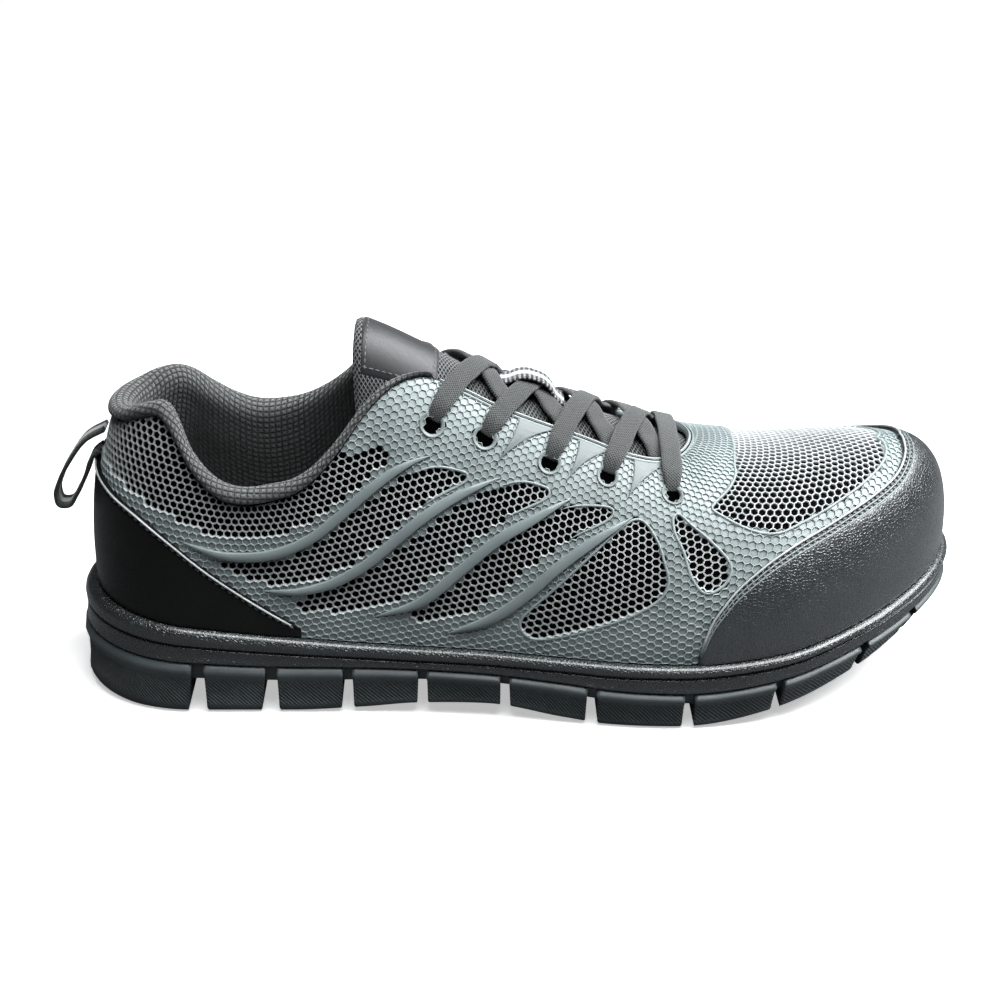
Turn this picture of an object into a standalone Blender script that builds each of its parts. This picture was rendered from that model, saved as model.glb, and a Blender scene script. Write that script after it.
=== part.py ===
"""Low safety sneaker for a right foot, modelled in metres with +X to the toe and +Z up.

The sole's outline and the upper are worked out from a few body sizes (length, ball width,
instep and heel height) through short tables of shares, one row for each place along the shoe.
"""
import math

import bmesh
import bpy
import numpy as np
from mathutils import Vector

for thing in list(bpy.data.objects):
    bpy.data.objects.remove(thing, do_unlink=True)

# Body sizes, in metres
SOLE_LENGTH = 0.305
BALL_WIDTH = 0.110
SOLE_HEEL = 0.035
INSTEP_HEIGHT = 0.118
HEEL_ROUND = 0.040
TOE_ROUND = 0.080
TOE_SWING = 0.018
WALL = 0.0020
GAP = 0.0003
OVERLAY_GAP = 0.0004
FEATHER_INSET = 0.003
HEEL_TUCK = 0.004
CUP_DEPTH = 0.005
INSOLE_THICK = 0.004
TOE_TAPER = 0.006
BLOCK_CUT = 0.0042
BLOCK_BEVEL = 0.0014
NOTCH_DEPTH = 0.0035
WEB_SHARE = 0.62
GROOVE_DEPTH = 0.0009
GROOVE_WIDTH = 0.0014
LIP_BULGE = 0.0009
CLEFT_RADIUS = 0.0042
OVERLAY = 0.0012
COLLAR_PADDING = 0.006
RIM_HEIGHT = 0.0052
TONGUE_THICK = 0.0045
EYELET_RADIUS = 0.0019
LACE_WIDTH = 0.0052
LACE_THICK = 0.0016
STRAP_WIDTH = 0.010
STRAP_THICK = 0.001
STRAP_ARCH = 0.0042
PULL_WIDTH = 0.010
PULL_THICK = 0.0014
PULL_LENGTH = 0.026
REST_SHARE = 0.177
LATERAL, MEDIAL = -1, 1

# share of length, lateral and medial half width (shares of the ball width), centre line (share of the swing)
PLAN = np.array([
    (0.00, 0.330, 0.330, 0.00),
    (0.08, 0.342, 0.340, 0.00),
    (0.16, 0.350, 0.343, 0.00),
    (0.25, 0.356, 0.336, 0.00),
    (0.35, 0.368, 0.318, 0.00),
    (0.45, 0.398, 0.325, 0.00),
    (0.55, 0.446, 0.385, 0.00),
    (0.63, 0.482, 0.452, 0.00),
    (0.71, 0.492, 0.486, 0.03),
    (0.79, 0.480, 0.484, 0.16),
    (0.87, 0.452, 0.458, 0.42),
    (0.94, 0.438, 0.432, 0.75),
    (1.00, 0.420, 0.400, 1.00),
])

# share of length; lowest edge, block top, groove and lip top (shares of the heel's sole height);
# how far the lowest edge is tucked in (share of the toe's taper)
SOLE_SIDE = np.array([
    (0.00, 0.05, 0.64, 0.86, 1.07, -0.17),
    (0.07, 0.00, 0.59, 0.80, 1.00, 0.17),
    (0.14, 0.00, 0.545, 0.735, 0.915, 0.25),
    (0.24, 0.00, 0.505, 0.66, 0.82, 0.25),
    (0.32, 0.04, 0.50, 0.62, 0.76, 0.25),
    (0.38, 0.10, 0.495, 0.60, 0.735, 0.25),
    (0.46, 0.13, 0.48, 0.59, 0.72, 0.25),
    (0.54, 0.04, 0.44, 0.575, 0.70, 0.25),
    (0.59, 0.00, 0.40, 0.56, 0.69, 0.25),
    (0.67, 0.00, 0.385, 0.565, 0.685, 0.30),
    (0.78, 0.12, 0.47, 0.63, 0.735, 0.50),
    (0.87, 0.29, 0.61, 0.76, 0.855, 0.67),
    (0.94, 0.44, 0.73, 0.865, 0.975, 0.83),
    (1.00, 0.58, 0.84, 0.96, 1.10, 1.00),
])

# share of length; spine's share of length, ridge height (share of the instep), rise, bulge, crown
SECTION = np.array([
    (0.00, 0.150, 1.08, 0.50, 0.04, 0.66),
    (0.08, 0.165, 1.09, 0.50, 0.04, 0.68),
    (0.16, 0.200, 1.11, 0.50, 0.03, 0.74),
    (0.25, 0.260, 1.12, 0.50, 0.00, 0.80),
    (0.32, 0.320, 1.09, 0.50, 0.00, 0.77),
    (0.40, 0.400, 1.00, 0.50, 0.00, 0.68),
    (0.48, 0.480, 0.900, 0.50, 0.00, 0.60),
    (0.58, 0.580, 0.81, 0.50, 0.00, 0.60),
    (0.68, 0.680, 0.727, 0.55, 0.02, 0.64),
    (0.78, 0.768, 0.685, 0.60, 0.04, 0.70),
    (0.88, 0.842, 0.672, 0.66, 0.05, 0.77),
    (1.00, 0.890, 0.668, 0.72, 0.05, 0.80),
])

# turn round the outline; upper's top edge on each side, as a share of the way up its section
TOP_EDGE = np.array([
    (0.000, 0.475, 0.475),
    (0.060, 0.478, 0.475),
    (0.120, 0.495, 0.480),
    (0.165, 0.525, 0.495),
    (0.198, 0.530, 0.492),
    (0.220, 0.480, 0.470),
    (0.245, 0.385, 0.425),
    (0.270, 0.322, 0.385),
    (0.292, 0.305, 0.365),
    (0.315, 0.315, 0.368),
    (0.343, 0.350, 0.400),
    (0.370, 0.450, 0.480),
    (0.394, 0.595, 0.610),
    (0.413, 0.705, 0.710),
    (0.432, 0.780, 0.780),
    (0.455, 0.800, 0.800),
    (0.480, 0.790, 0.790),
    (0.540, 0.772, 0.772),
    (0.575, 0.755, 0.755),
    (0.595, 0.775, 0.775),
    (0.612, 0.850, 0.850),
    (0.620, 0.920, 0.920),
])
CLOSED_TURN = 0.6215

# turn; how far up the section the toe cap reaches
CAP_SEAM = np.array([
    (0.6215, 0.030),
    (0.628, 0.125),
    (0.641, 0.223),
    (0.669, 0.345),
    (0.696, 0.420),
    (0.740, 0.492),
    (0.789, 0.555),
    (0.841, 0.613),
    (0.890, 0.690),
    (0.940, 0.760),
    (1.000, 0.800),
])

# turn; how far up the section the heel counter reaches
COUNTER_SEAM = np.array([
    (0.000, 0.325),
    (0.060, 0.320),
    (0.130, 0.297),
    (0.184, 0.263),
    (0.220, 0.217),
    (0.259, 0.147),
    (0.297, 0.084),
    (0.337, 0.022),
])

# turn; shares of the collar's padding and of its rolled rim
COLLAR_PAD = np.array([
    (0.00, 0.83, 1.00),
    (0.20, 1.00, 1.00),
    (0.30, 0.97, 0.95),
    (0.35, 0.67, 0.85),
    (0.38, 0.50, 0.75),
    (0.41, 0.34, 0.48),
    (0.44, 0.22, 0.22),
])

# turn; depth of the tongue under the upper's face at its crown (share of the wall) and at its edge
# (share of the collar's padding, below the wall); where its edge lies
TONGUE = np.array([
    (0.385, 0.20, 1.42, 0.50),
    (0.405, 0.20, 1.25, 0.52),
    (0.430, 0.40, 1.00, 0.56),
    (0.455, 0.70, 0.80, 0.60),
    (0.520, 1.00, 0.67, 0.62),
    (0.600, 1.40, 0.60, 0.62),
    (0.660, 1.70, 0.53, 0.68),
])

# turn and height share of each eyelet from the top, and turn where its lace dives under the far edge
EYELETS = np.array([
    (0.437, 0.613, 0.458),
    (0.473, 0.633, 0.497),
    (0.517, 0.620, 0.538),
    (0.557, 0.633, 0.580),
    (0.603, 0.625, 0.603),
])

# share of length; width at the floor and at the top of each cut between blocks (shares of BLOCK_CUT)
BLOCK_CUTS = (
    (0.136, 1.52, 0.95),
    (0.217, 1.43, 0.90),
    (0.303, 1.00, 0.76),
    (0.386, 0.86, 0.71),
    (0.477, 0.81, 0.71),
    (0.571, 1.00, 0.76),
    (0.677, 1.00, 0.81),
    (0.777, 0.86, 0.71),
    (0.877, 0.86, 0.71),
    (0.942, 0.67, 0.57),
)

# inset, share of the heel tuck, height above a level, level it is measured from
LOWEST, BLOCK_TOP, GROOVE, LIP_TOP = range(1, 5)
MIDSOLE_RINGS = (
    (BLOCK_BEVEL, 0.00, GAP, BLOCK_TOP),
    (0.0, 0.10, GAP + BLOCK_BEVEL*0.8, BLOCK_TOP),
    (0.0, 0.25, -GROOVE_WIDTH/2, GROOVE),
    (GROOVE_DEPTH, 0.30, 0.0, GROOVE),
    (0.0, 0.30, GROOVE_WIDTH/2, GROOVE),
    (-LIP_BULGE, 0.35, GROOVE_WIDTH*1.85, GROOVE),
    (FEATHER_INSET*0.07, 0.60, -LIP_BULGE*1.3, LIP_TOP),
    (FEATHER_INSET*0.67, 0.95, LIP_BULGE*0.1, LIP_TOP),
    (FEATHER_INSET - GAP, 1.00, -LIP_BULGE*0.7, LIP_TOP),
    (FEATHER_INSET - GAP, 1.00, -CUP_DEPTH, LIP_TOP),
)

# outwards (share of the wall, inwards of padding) and up (share of the rim's height)
RIM = ((0.50, 0.00), (0.55, 0.35), (0.05, 0.70), (-1.10, 0.92))

# share of the way from the upper seam to the lower; back and down in shares of the pull loop's length
PULL_LOOP = (
    (0.0, 0.00, 0.00), (0.0, 0.24, 0.13), (0.0, 0.47, 0.41), (0.0, 0.645, 0.715),
    (0.0, 0.71, 0.92), (0.2, 0.66, 1.00), (0.5, 0.52, 0.92), (0.7, 0.38, 0.70),
    (0.9, 0.22, 0.36), (1.0, 0.10, 0.08), (1.0, 0.00, 0.00),
)


def smooth(table, share, column, steady=False):
    """Cubic through a column of a table; steady keeps level stretches exactly level."""
    x, y = table[:, 0], table[:, column]
    slope = np.gradient(y, x)
    if steady:
        step = np.diff(y)/np.diff(x)
        left, right = np.append(step[0], step), np.append(step, step[-1])
        slope = np.where(left*right > 0, 2*left*right/(left + right + 1e-12), 0.0)
    share = np.clip(share, x[0], x[-1])
    i = np.clip(np.searchsorted(x, share, side="right") - 1, 0, len(x) - 2)
    h = x[i + 1] - x[i]
    u = (share - x[i])/h
    return ((2*u**3 - 3*u**2 + 1)*y[i] + (u**3 - 2*u**2 + u)*h*slope[i]
            + (3*u**2 - 2*u**3)*y[i + 1] + (u**3 - u**2)*h*slope[i + 1])


def outline(turn, side):
    """The sole's outline; turn runs from 0 at the back of the heel to 1 at the toe's tip."""
    share = (1 - np.cos(math.pi*turn))/2
    x = share*SOLE_LENGTH
    heel = np.clip(1 - x/HEEL_ROUND, 0, 1)
    toe = np.clip(1 - (SOLE_LENGTH - x)/TOE_ROUND, 0, 1)
    rounding = np.sqrt(np.clip(1 - heel**2.15, 0, 1))*np.sqrt(np.clip(1 - toe**2.4, 0, 1))
    half = np.where(side < 0, smooth(PLAN, share, 1), smooth(PLAN, share, 2))*BALL_WIDTH
    return x, smooth(PLAN, share, 3)*TOE_SWING + side*half*rounding


def outline_inset(turn, side, inset):
    """The outline moved inwards along its own normal."""
    d = 1e-4
    x, y = outline(turn, side)
    x0, y0 = outline(np.clip(turn - d, 0, 1), side)
    x1, y1 = outline(np.clip(turn + d, 0, 1), side)
    tip = (turn < d) | (turn > 1 - d)
    tx = np.where(tip, 0, x1 - x0)
    ty = np.where(turn < d, side, np.where(turn > 1 - d, -side, y1 - y0))
    size = np.hypot(tx, ty)
    return x + side*ty/size*inset, y - side*tx/size*inset


def side_level(turn, side, level):
    """Height of one of the sole's levels at a turn."""
    share = outline(turn, side)[0]/SOLE_LENGTH
    return smooth(SOLE_SIDE, share, level, steady=True)*SOLE_HEEL


def tuck(turn, side):
    """How far the heel's back leans in above the blocks."""
    x = outline(turn, side)[0]
    return HEEL_TUCK*np.clip(1 - x/HEEL_ROUND, 0, 1)**2


def bezier(a, b, c, d, t):
    u = 1 - t
    return a*u**3 + 3*b*u*u*t + 3*c*u*t*t + d*t**3


def upper_face(turn, side, t):
    """Outer face of the upper: t runs from the feather edge (0) to the ridge (1)."""
    turn, side, t = np.broadcast_arrays(turn, side, t)
    share = outline(turn, side)[0]/SOLE_LENGTH
    bx, by = outline_inset(turn, side, FEATHER_INSET + tuck(turn, side))
    zf = side_level(turn, side, LIP_TOP)
    sx = smooth(SECTION, share, 1)*SOLE_LENGTH
    sy = smooth(PLAN, sx/SOLE_LENGTH, 3)*TOE_SWING
    zr = smooth(SECTION, share, 2)*INSTEP_HEIGHT
    a = bezier(1, 1 + smooth(SECTION, share, 4), smooth(SECTION, share, 5), 0, t)
    c = bezier(0, smooth(SECTION, share, 3), 1, 1, t)
    return np.stack([sx + (bx - sx)*a, sy + (by - sy)*a, zf + (zr - zf)*c], -1)


def around(turn, side):
    """Fold a turn that runs past the heel's back or the toe's tip onto the other side."""
    side = np.where((turn < 0) | (turn > 1), -side, side)
    return np.where(turn < 0, -turn, np.where(turn > 1, 2 - turn, turn)), side


def upper_out(turn, side, t):
    """Unit normal of the upper's outer face, pointing out of the shoe."""
    d = 1e-3
    turn, side, t = np.broadcast_arrays(np.asarray(turn, float), side, np.asarray(t, float))
    after, before = around(turn + d, side), around(turn - d, side)
    along = upper_face(after[0], after[1], t) - upper_face(before[0], before[1], t)
    up = (upper_face(turn, side, np.minimum(t + d, 1))
          - upper_face(turn, side, np.maximum(t - d, 0)))
    out = np.cross(along, up)*-side[..., None]
    share = outline(turn, side)[0]/SOLE_LENGTH
    s0, s1 = np.clip(share - 0.01, 0, 1), np.clip(share + 0.01, 0, 1)
    run = (smooth(SECTION, s1, 1) - smooth(SECTION, s0, 1))*SOLE_LENGTH
    rise = (smooth(SECTION, s1, 2) - smooth(SECTION, s0, 2))*INSTEP_HEIGHT
    ridge = np.stack([-rise, np.zeros_like(rise), run], -1)
    out = np.where(t[..., None] > 1 - 1e-6, ridge, out)
    return out/np.linalg.norm(out, axis=-1, keepdims=True)


def shifted(turn, side, t, depth):
    """A point that lies a given depth under (or, if negative, above) the upper's outer face."""
    point, out = upper_face(turn, side, t), upper_out(turn, side, t)
    return point - out*np.asarray(depth)[..., None]


def loop_turns(count):
    """Turns and sides of the stations of a closed ring: lateral heel to toe, then back."""
    ahead = np.linspace(0, 1, count + 1)
    turns = np.concatenate([ahead, ahead[-2:0:-1]])
    sides = np.concatenate([np.full(count + 1, LATERAL), np.full(count - 1, MEDIAL)])
    return turns, sides


def make_object(name, points, faces):
    """Turn points and faces into a named object with outward normals and its own material."""
    mesh = bpy.data.meshes.new(name)
    mesh.from_pydata([tuple(p) for p in points], [], faces)
    shape = bmesh.new()
    shape.from_mesh(mesh)
    bmesh.ops.remove_doubles(shape, verts=shape.verts, dist=0.00002)
    bmesh.ops.recalc_face_normals(shape, faces=shape.faces)
    shape.to_mesh(mesh)
    shape.free()
    made = bpy.data.objects.new(name, mesh)
    shoe.objects.link(made)
    made.data.materials.append(materials[name])
    return made


def loft_rings(name, rings):
    """A solid from rings of stations, bottom first; both ends are closed straight across."""
    count = len(rings[0])
    half = count//2
    points = np.concatenate(rings)
    faces = []
    for r in range(len(rings) - 1):
        for i in range(count):
            j = (i + 1) % count
            faces.append((r*count + i, r*count + j, (r + 1)*count + j, (r + 1)*count + i))
    for base, flip in ((0, True), ((len(rings) - 1)*count, False)):
        for i in range(half):
            a, b = base + i, base + i + 1
            c, d = base + (count - i - 1) % count, base + (count - i) % count
            ring = [a, b, c, d]
            ring = [v for k, v in enumerate(ring) if v not in ring[:k]]
            faces.append(tuple(ring[::-1] if flip else ring))
    return make_object(name, points, faces)


def plate(name, outer, inner):
    """A solid between two grids of points, rows by columns, closed along all four edges."""
    rows, columns = outer.shape[:2]
    points = np.concatenate([outer.reshape(-1, 3), inner.reshape(-1, 3)])
    under = rows*columns
    index = np.arange(under).reshape(rows, columns)
    faces = []
    for i in range(rows - 1):
        for j in range(columns - 1):
            quad = (index[i, j], index[i + 1, j], index[i + 1, j + 1], index[i, j + 1])
            faces.append(tuple(int(v) for v in quad))
            faces.append(tuple(int(v) + under for v in quad[::-1]))
    rim = list(index[0]) + list(index[1:, -1]) + list(index[-1, -2::-1]) + list(index[-2:0:-1, 0])
    for a, b in zip(rim, rim[1:] + rim[:1]):
        faces.append((int(a), int(b), int(b) + under, int(a) + under))
    return make_object(name, points, faces)


def cut(target, cutter):
    """Subtract a cutter from an object with an exact boolean."""
    step = target.modifiers.new(cutter.name, "BOOLEAN")
    step.operation, step.solver, step.object = "DIFFERENCE", "EXACT", cutter


def make_cutter(name, points, faces):
    mesh = bpy.data.meshes.new(name)
    mesh.from_pydata([tuple(p) for p in points], [], faces)
    shape = bmesh.new()
    shape.from_mesh(mesh)
    bmesh.ops.recalc_face_normals(shape, faces=shape.faces)
    shape.to_mesh(mesh)
    shape.free()
    made = bpy.data.objects.new(name, mesh)
    made.display_type = "WIRE"
    made.hide_render = True
    cutters.objects.link(made)
    return made


def swept_strip(name, path, across, width, thick):
    """A flat strip along a path; across gives the width's direction at each point."""
    path, across = np.asarray(path, float), np.asarray(across, float)
    along = np.gradient(path, axis=0)
    along /= np.linalg.norm(along, axis=1, keepdims=True)
    across = across - along*np.sum(across*along, axis=1, keepdims=True)
    across /= np.linalg.norm(across, axis=1, keepdims=True)
    up = np.cross(along, across)
    width, thick = np.asarray(width)[..., None]*0.5, thick*0.5
    corners = [path + across*width + up*thick, path + across*width - up*thick,
               path - across*width - up*thick, path - across*width + up*thick]
    count = len(path)
    points = np.concatenate(corners)
    faces = []
    for k in range(4):
        for i in range(count - 1):
            a, b = k*count + i, (k + 1) % 4*count + i
            faces.append((a, b, b + 1, a + 1))
    faces.append(tuple(k*count for k in range(4)))
    faces.append(tuple(k*count + count - 1 for k in range(4)))
    return make_object(name, points, faces)


# name, colour, roughness
FINISHES = (
    ("outsole", (0.022, 0.023, 0.025), 0.55),
    ("midsole", (0.025, 0.026, 0.028), 0.45),
    ("insole", (0.05, 0.05, 0.055), 0.90),
    ("upper", (0.10, 0.11, 0.12), 0.55),
    ("toe_cap", (0.030, 0.032, 0.036), 0.40),
    ("heel_counter", (0.018, 0.016, 0.015), 0.25),
    ("collar", (0.020, 0.021, 0.023), 0.90),
    ("tongue", (0.040, 0.043, 0.048), 0.85),
    ("tongue_loop", (0.30, 0.31, 0.32), 0.70),
    ("pull_loop", (0.030, 0.031, 0.033), 0.80),
    ("lace_bar", (0.035, 0.037, 0.040), 0.80),
    ("lace_cross_1", (0.035, 0.037, 0.040), 0.80),
    ("lace_cross_2", (0.035, 0.037, 0.040), 0.80),
    ("lace_cross_3", (0.035, 0.037, 0.040), 0.80),
    ("lace_cross_4", (0.035, 0.037, 0.040), 0.80),
)
materials = {}
for name, colour, roughness in FINISHES:
    paint = bpy.data.materials.new(name)
    paint.use_nodes = True
    shader = paint.node_tree.nodes["Principled BSDF"]
    shader.inputs["Base Color"].default_value = (*colour, 1)
    shader.inputs["Roughness"].default_value = roughness
    shader.inputs["Metallic"].default_value = 0.0
    materials[name] = paint

shoe = bpy.data.collections.new("safety_sneaker")
cutters = bpy.data.collections.new("cutters")
bpy.context.scene.collection.children.link(shoe)
bpy.context.scene.collection.children.link(cutters)


def ring(turns, sides, inset, height):
    x, y = outline_inset(turns, sides, inset)
    return np.stack([x, y, height], 1)


# Outsole: a tapered pad, cut across into blocks that hang from a web
turns, sides = loop_turns(32)
low = side_level(turns, sides, LOWEST)
top = side_level(turns, sides, BLOCK_TOP)
low_inset = smooth(SOLE_SIDE, outline(turns, sides)[0]/SOLE_LENGTH, 5)*TOE_TAPER
outsole = loft_rings("outsole", [
    ring(turns, sides, low_inset + BLOCK_BEVEL, low),
    ring(turns, sides, low_inset, low + BLOCK_BEVEL),
    ring(turns, sides, 0.0*low, top - BLOCK_BEVEL),
    ring(turns, sides, 0.0*low + BLOCK_BEVEL, top),
])

cut_points, cut_faces = [], []
for share, wide_low, wide_top in BLOCK_CUTS:
    wide_low, wide_top = wide_low*BLOCK_CUT, wide_top*BLOCK_CUT
    turn = math.acos(1 - 2*share)/math.pi
    reach = wide_low/2/SOLE_LENGTH
    ends = np.arccos(1 - 2*np.array((share - reach, share + reach)))/math.pi
    left = float(outline(ends, LATERAL)[1].max()) + NOTCH_DEPTH
    right = float(outline(ends, MEDIAL)[1].min()) - NOTCH_DEPTH
    block_low = float(side_level(turn, LATERAL, LOWEST))
    block_top = float(side_level(turn, LATERAL, BLOCK_TOP))
    web = block_low + (block_top - block_low)*WEB_SHARE
    far, over, below = BALL_WIDTH, block_top + SOLE_HEEL*0.1, -SOLE_HEEL*0.3
    profile = [(-far, below), (-far, over), (left, over), (left, web),
               (right, web), (right, over), (far, over), (far, below)]
    base = len(cut_points)
    for front in (-1, 1):
        for y, z in profile:
            up = min(max((z - block_low)/(block_top - block_low), 0), 1)
            lean = wide_low + (wide_top - wide_low)*up
            cut_points.append((share*SOLE_LENGTH + wide_low/2 - (lean if front < 0 else 0), y, z))
    n = len(profile)
    for k in range(n):
        m = (k + 1) % n
        cut_faces.append((base + k, base + m, base + n + m, base + n + k))
    cut_faces.append(tuple(base + k for k in range(n)))
    cut_faces.append(tuple(base + n + k for k in range(n - 1, -1, -1)))
cut(outsole, make_cutter("block_cuts", cut_points, cut_faces))

cleft_top = float(side_level(0.0, LATERAL, BLOCK_TOP))*0.72
cleft_low = -SOLE_HEEL*0.1
bpy.ops.mesh.primitive_cylinder_add(vertices=12, radius=CLEFT_RADIUS, depth=cleft_top - cleft_low,
                                    location=(-CLEFT_RADIUS*0.15, 0, (cleft_top + cleft_low)/2))
cleft = bpy.context.object
cleft.name = "heel_cleft"
cleft.display_type, cleft.hide_render = "WIRE", True
for other in list(cleft.users_collection):
    other.objects.unlink(cleft)
cutters.objects.link(cleft)
cut(outsole, cleft)

# Midsole: band, groove and rounded lip round a shallow cup that takes the upper's foot
rings = []
for inset, tucked, above, level in MIDSOLE_RINGS:
    rings.append(ring(turns, sides, inset + tucked*tuck(turns, sides),
                      side_level(turns, sides, level) + above))
loft_rings("midsole", rings)

# Insole: a flat pad that lies in the cup, inside the upper's foot
edge = FEATHER_INSET + WALL + GAP*2 + tuck(turns, sides)
floor = side_level(turns, sides, LIP_TOP) - CUP_DEPTH + GAP
loft_rings("insole", [ring(turns, sides, edge, floor),
                      ring(turns, sides, edge, floor + INSOLE_THICK*0.7),
                      ring(turns, sides, edge + INSOLE_THICK*0.5, floor + INSOLE_THICK)])

# Upper: one hollow wall, open at the collar, down the throat and underneath
stations = 44
ahead = np.linspace(0, 1, stations + 1)
ahead = ahead[np.abs(ahead - CLOSED_TURN) > 0.012]
ahead = np.sort(np.append(ahead, (CLOSED_TURN - 0.0165, CLOSED_TURN - 0.0065, CLOSED_TURN,
                                  CLOSED_TURN + 0.0065)))
stations = len(ahead) - 1
turns = np.concatenate([ahead, ahead[-2:0:-1]])
sides = np.concatenate([np.full(stations + 1, LATERAL), np.full(stations - 1, MEDIAL)])
closed = turns >= CLOSED_TURN - 1e-6
top_edge = np.where(sides < 0, smooth(TOP_EDGE, turns, 1), smooth(TOP_EDGE, turns, 2))
top_edge = np.where(closed, 1.0, top_edge)
ROWS = (0.0, 0.12, 0.27, 0.44, 0.61, 0.77, 0.90, 1.0)
outer, inner = [], []
bx, by = outline_inset(turns, sides, FEATHER_INSET + tuck(turns, sides))
ix, iy = outline_inset(turns, sides, FEATHER_INSET + WALL + tuck(turns, sides))
lip = side_level(turns, sides, LIP_TOP)
outer.append(np.stack([bx, by, lip - CUP_DEPTH + GAP], 1))
inner.append(np.stack([ix, iy, lip - CUP_DEPTH + GAP], 1))
for share in ROWS:
    t = top_edge*share
    outer.append(upper_face(turns, sides, t))
    if share == 0.0:
        inner.append(np.stack([ix, iy, lip], 1))
    else:
        inner.append(shifted(turns, sides, t, np.full(len(t), WALL)))
outer, inner = np.stack(outer), np.stack(inner)
rows, count = outer.shape[:2]
index = np.arange(rows*count).reshape(rows, count)
for i in range(count):
    if closed[i] and sides[i] > 0:
        index[-1, i] = index[-1, (count - i) % count]
under = rows*count
faces = []
for r in range(rows - 1):
    for i in range(count):
        j = (i + 1) % count
        quad = [int(v) for v in (index[r, i], index[r, j], index[r + 1, j], index[r + 1, i])]
        faces.append(tuple(quad))
        faces.append(tuple(v + under for v in quad[::-1]))
for i in range(count):
    j = (i + 1) % count
    faces.append((int(index[0, j]), int(index[0, i]), int(index[0, i]) + under,
                  int(index[0, j]) + under))
    if not (closed[i] and closed[j]):
        a, b = int(index[-1, i]), int(index[-1, j])
        faces.append((a, b, b + under, a + under))
upper = make_object("upper", np.concatenate([outer.reshape(-1, 3), inner.reshape(-1, 3)]), faces)
loose = bmesh.new()
loose.from_mesh(upper.data)
bmesh.ops.delete(loose, geom=[v for v in loose.verts if not v.link_faces], context="VERTS")
loose.to_mesh(upper.data)
loose.free()

for side, word in ((LATERAL, "lateral"), (MEDIAL, "medial")):
    for number, (turn, t, _) in enumerate(EYELETS, 1):
        place = shifted(turn, side, t, WALL/2)
        out = Vector(upper_out(turn, side, t))
        bpy.ops.mesh.primitive_cylinder_add(vertices=10, radius=EYELET_RADIUS, depth=WALL*4,
                                            location=place)
        drill = bpy.context.object
        drill.rotation_mode = "QUATERNION"
        drill.rotation_quaternion = out.to_track_quat("Z", "Y")
        drill.name = f"eyelet_{word}_{number}"
        drill.display_type, drill.hide_render = "WIRE", True
        for other in list(drill.users_collection):
            other.objects.unlink(drill)
        cutters.objects.link(drill)
        cut(upper, drill)


def overlay(name, turns, sides, reach, rows):
    """A thin cover over the upper's outer face, from just above the lip to its seam."""
    share = np.linspace(0, 1, rows)[:, None]
    start = np.minimum(0.010, reach*0.4)
    t = start + (reach - start)*share
    turns, sides = np.broadcast_arrays(turns, t)[0], np.broadcast_arrays(sides, t)[0]
    face = shifted(turns, sides, t, np.full(t.shape, -OVERLAY_GAP - OVERLAY))
    back = shifted(turns, sides, t, np.full(t.shape, -OVERLAY_GAP))
    return plate(name, face, back)


half = ahead[ahead >= CAP_SEAM[0, 0]]
cap_turns = np.concatenate([half, half[-2::-1]])
cap_sides = np.concatenate([np.full(len(half), LATERAL), np.full(len(half) - 1, MEDIAL)])
overlay("toe_cap", cap_turns, cap_sides, smooth(CAP_SEAM, cap_turns, 1), 7)

half = np.append(ahead[ahead < COUNTER_SEAM[-1, 0]], COUNTER_SEAM[-1, 0])
back_turns = np.concatenate([half[::-1], half[1:]])
back_sides = np.concatenate([np.full(len(half), LATERAL), np.full(len(half) - 1, MEDIAL)])
overlay("heel_counter", back_turns, back_sides, smooth(COUNTER_SEAM, back_turns, 1), 5)

# Collar: padded lining inside the upper, rolled over its top edge into a round rim
half = ahead[ahead < COLLAR_PAD[-1, 0]]
turns = np.concatenate([half[::-1], half[1:]])
sides = np.concatenate([np.full(len(half), LATERAL), np.full(len(half) - 1, MEDIAL)])
edge = np.where(sides < 0, smooth(TOP_EDGE, turns, 1), smooth(TOP_EDGE, turns, 2))
pad = smooth(COLLAR_PAD, turns, 1)*COLLAR_PADDING
roll = smooth(COLLAR_PAD, turns, 2)*RIM_HEIGHT
top = upper_face(turns, sides, edge)
out = upper_out(turns, sides, edge)
upward = upper_face(turns, sides, edge + 0.02) - top
upward /= np.linalg.norm(upward, axis=1, keepdims=True)
lining = WALL + OVERLAY_GAP
seat = GAP*2


def rim_point(outwards, high):
    return top + out*np.asarray(outwards)[..., None] + upward*(seat + high*roll)[:, None]


LINING_ROWS = (0.42, 0.62, 0.82, 0.97)
profile = [shifted(turns, sides, edge*s, lining + 0*turns) for s in LINING_ROWS]
profile.append(rim_point(-lining + 0*turns, 0.0))
for outwards, high in RIM:
    size = WALL if outwards > 0 else WALL*roll/RIM_HEIGHT
    profile.append(rim_point(outwards*size + 0*turns, high))
profile.append(rim_point(-lining - pad*0.72, 0.80))
profile.append(rim_point(-lining - pad, 0.20))
for s in LINING_ROWS[::-1]:
    thin = pad*(0.35 + 0.65*min(1, (s - 0.42)/0.40))
    profile.append(shifted(turns, sides, edge*s, lining + thin))
profile = np.stack(profile)
rows, count = profile.shape[:2]
faces = []
for r in range(rows):
    for i in range(count - 1):
        a, b = r*count + i, (r + 1) % rows*count + i
        faces.append((a, b, b + 1, a + 1))
faces.append(tuple(r*count for r in range(rows)))
faces.append(tuple(r*count + count - 1 for r in range(rows)))
make_object("collar", profile.reshape(-1, 3), faces)

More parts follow.
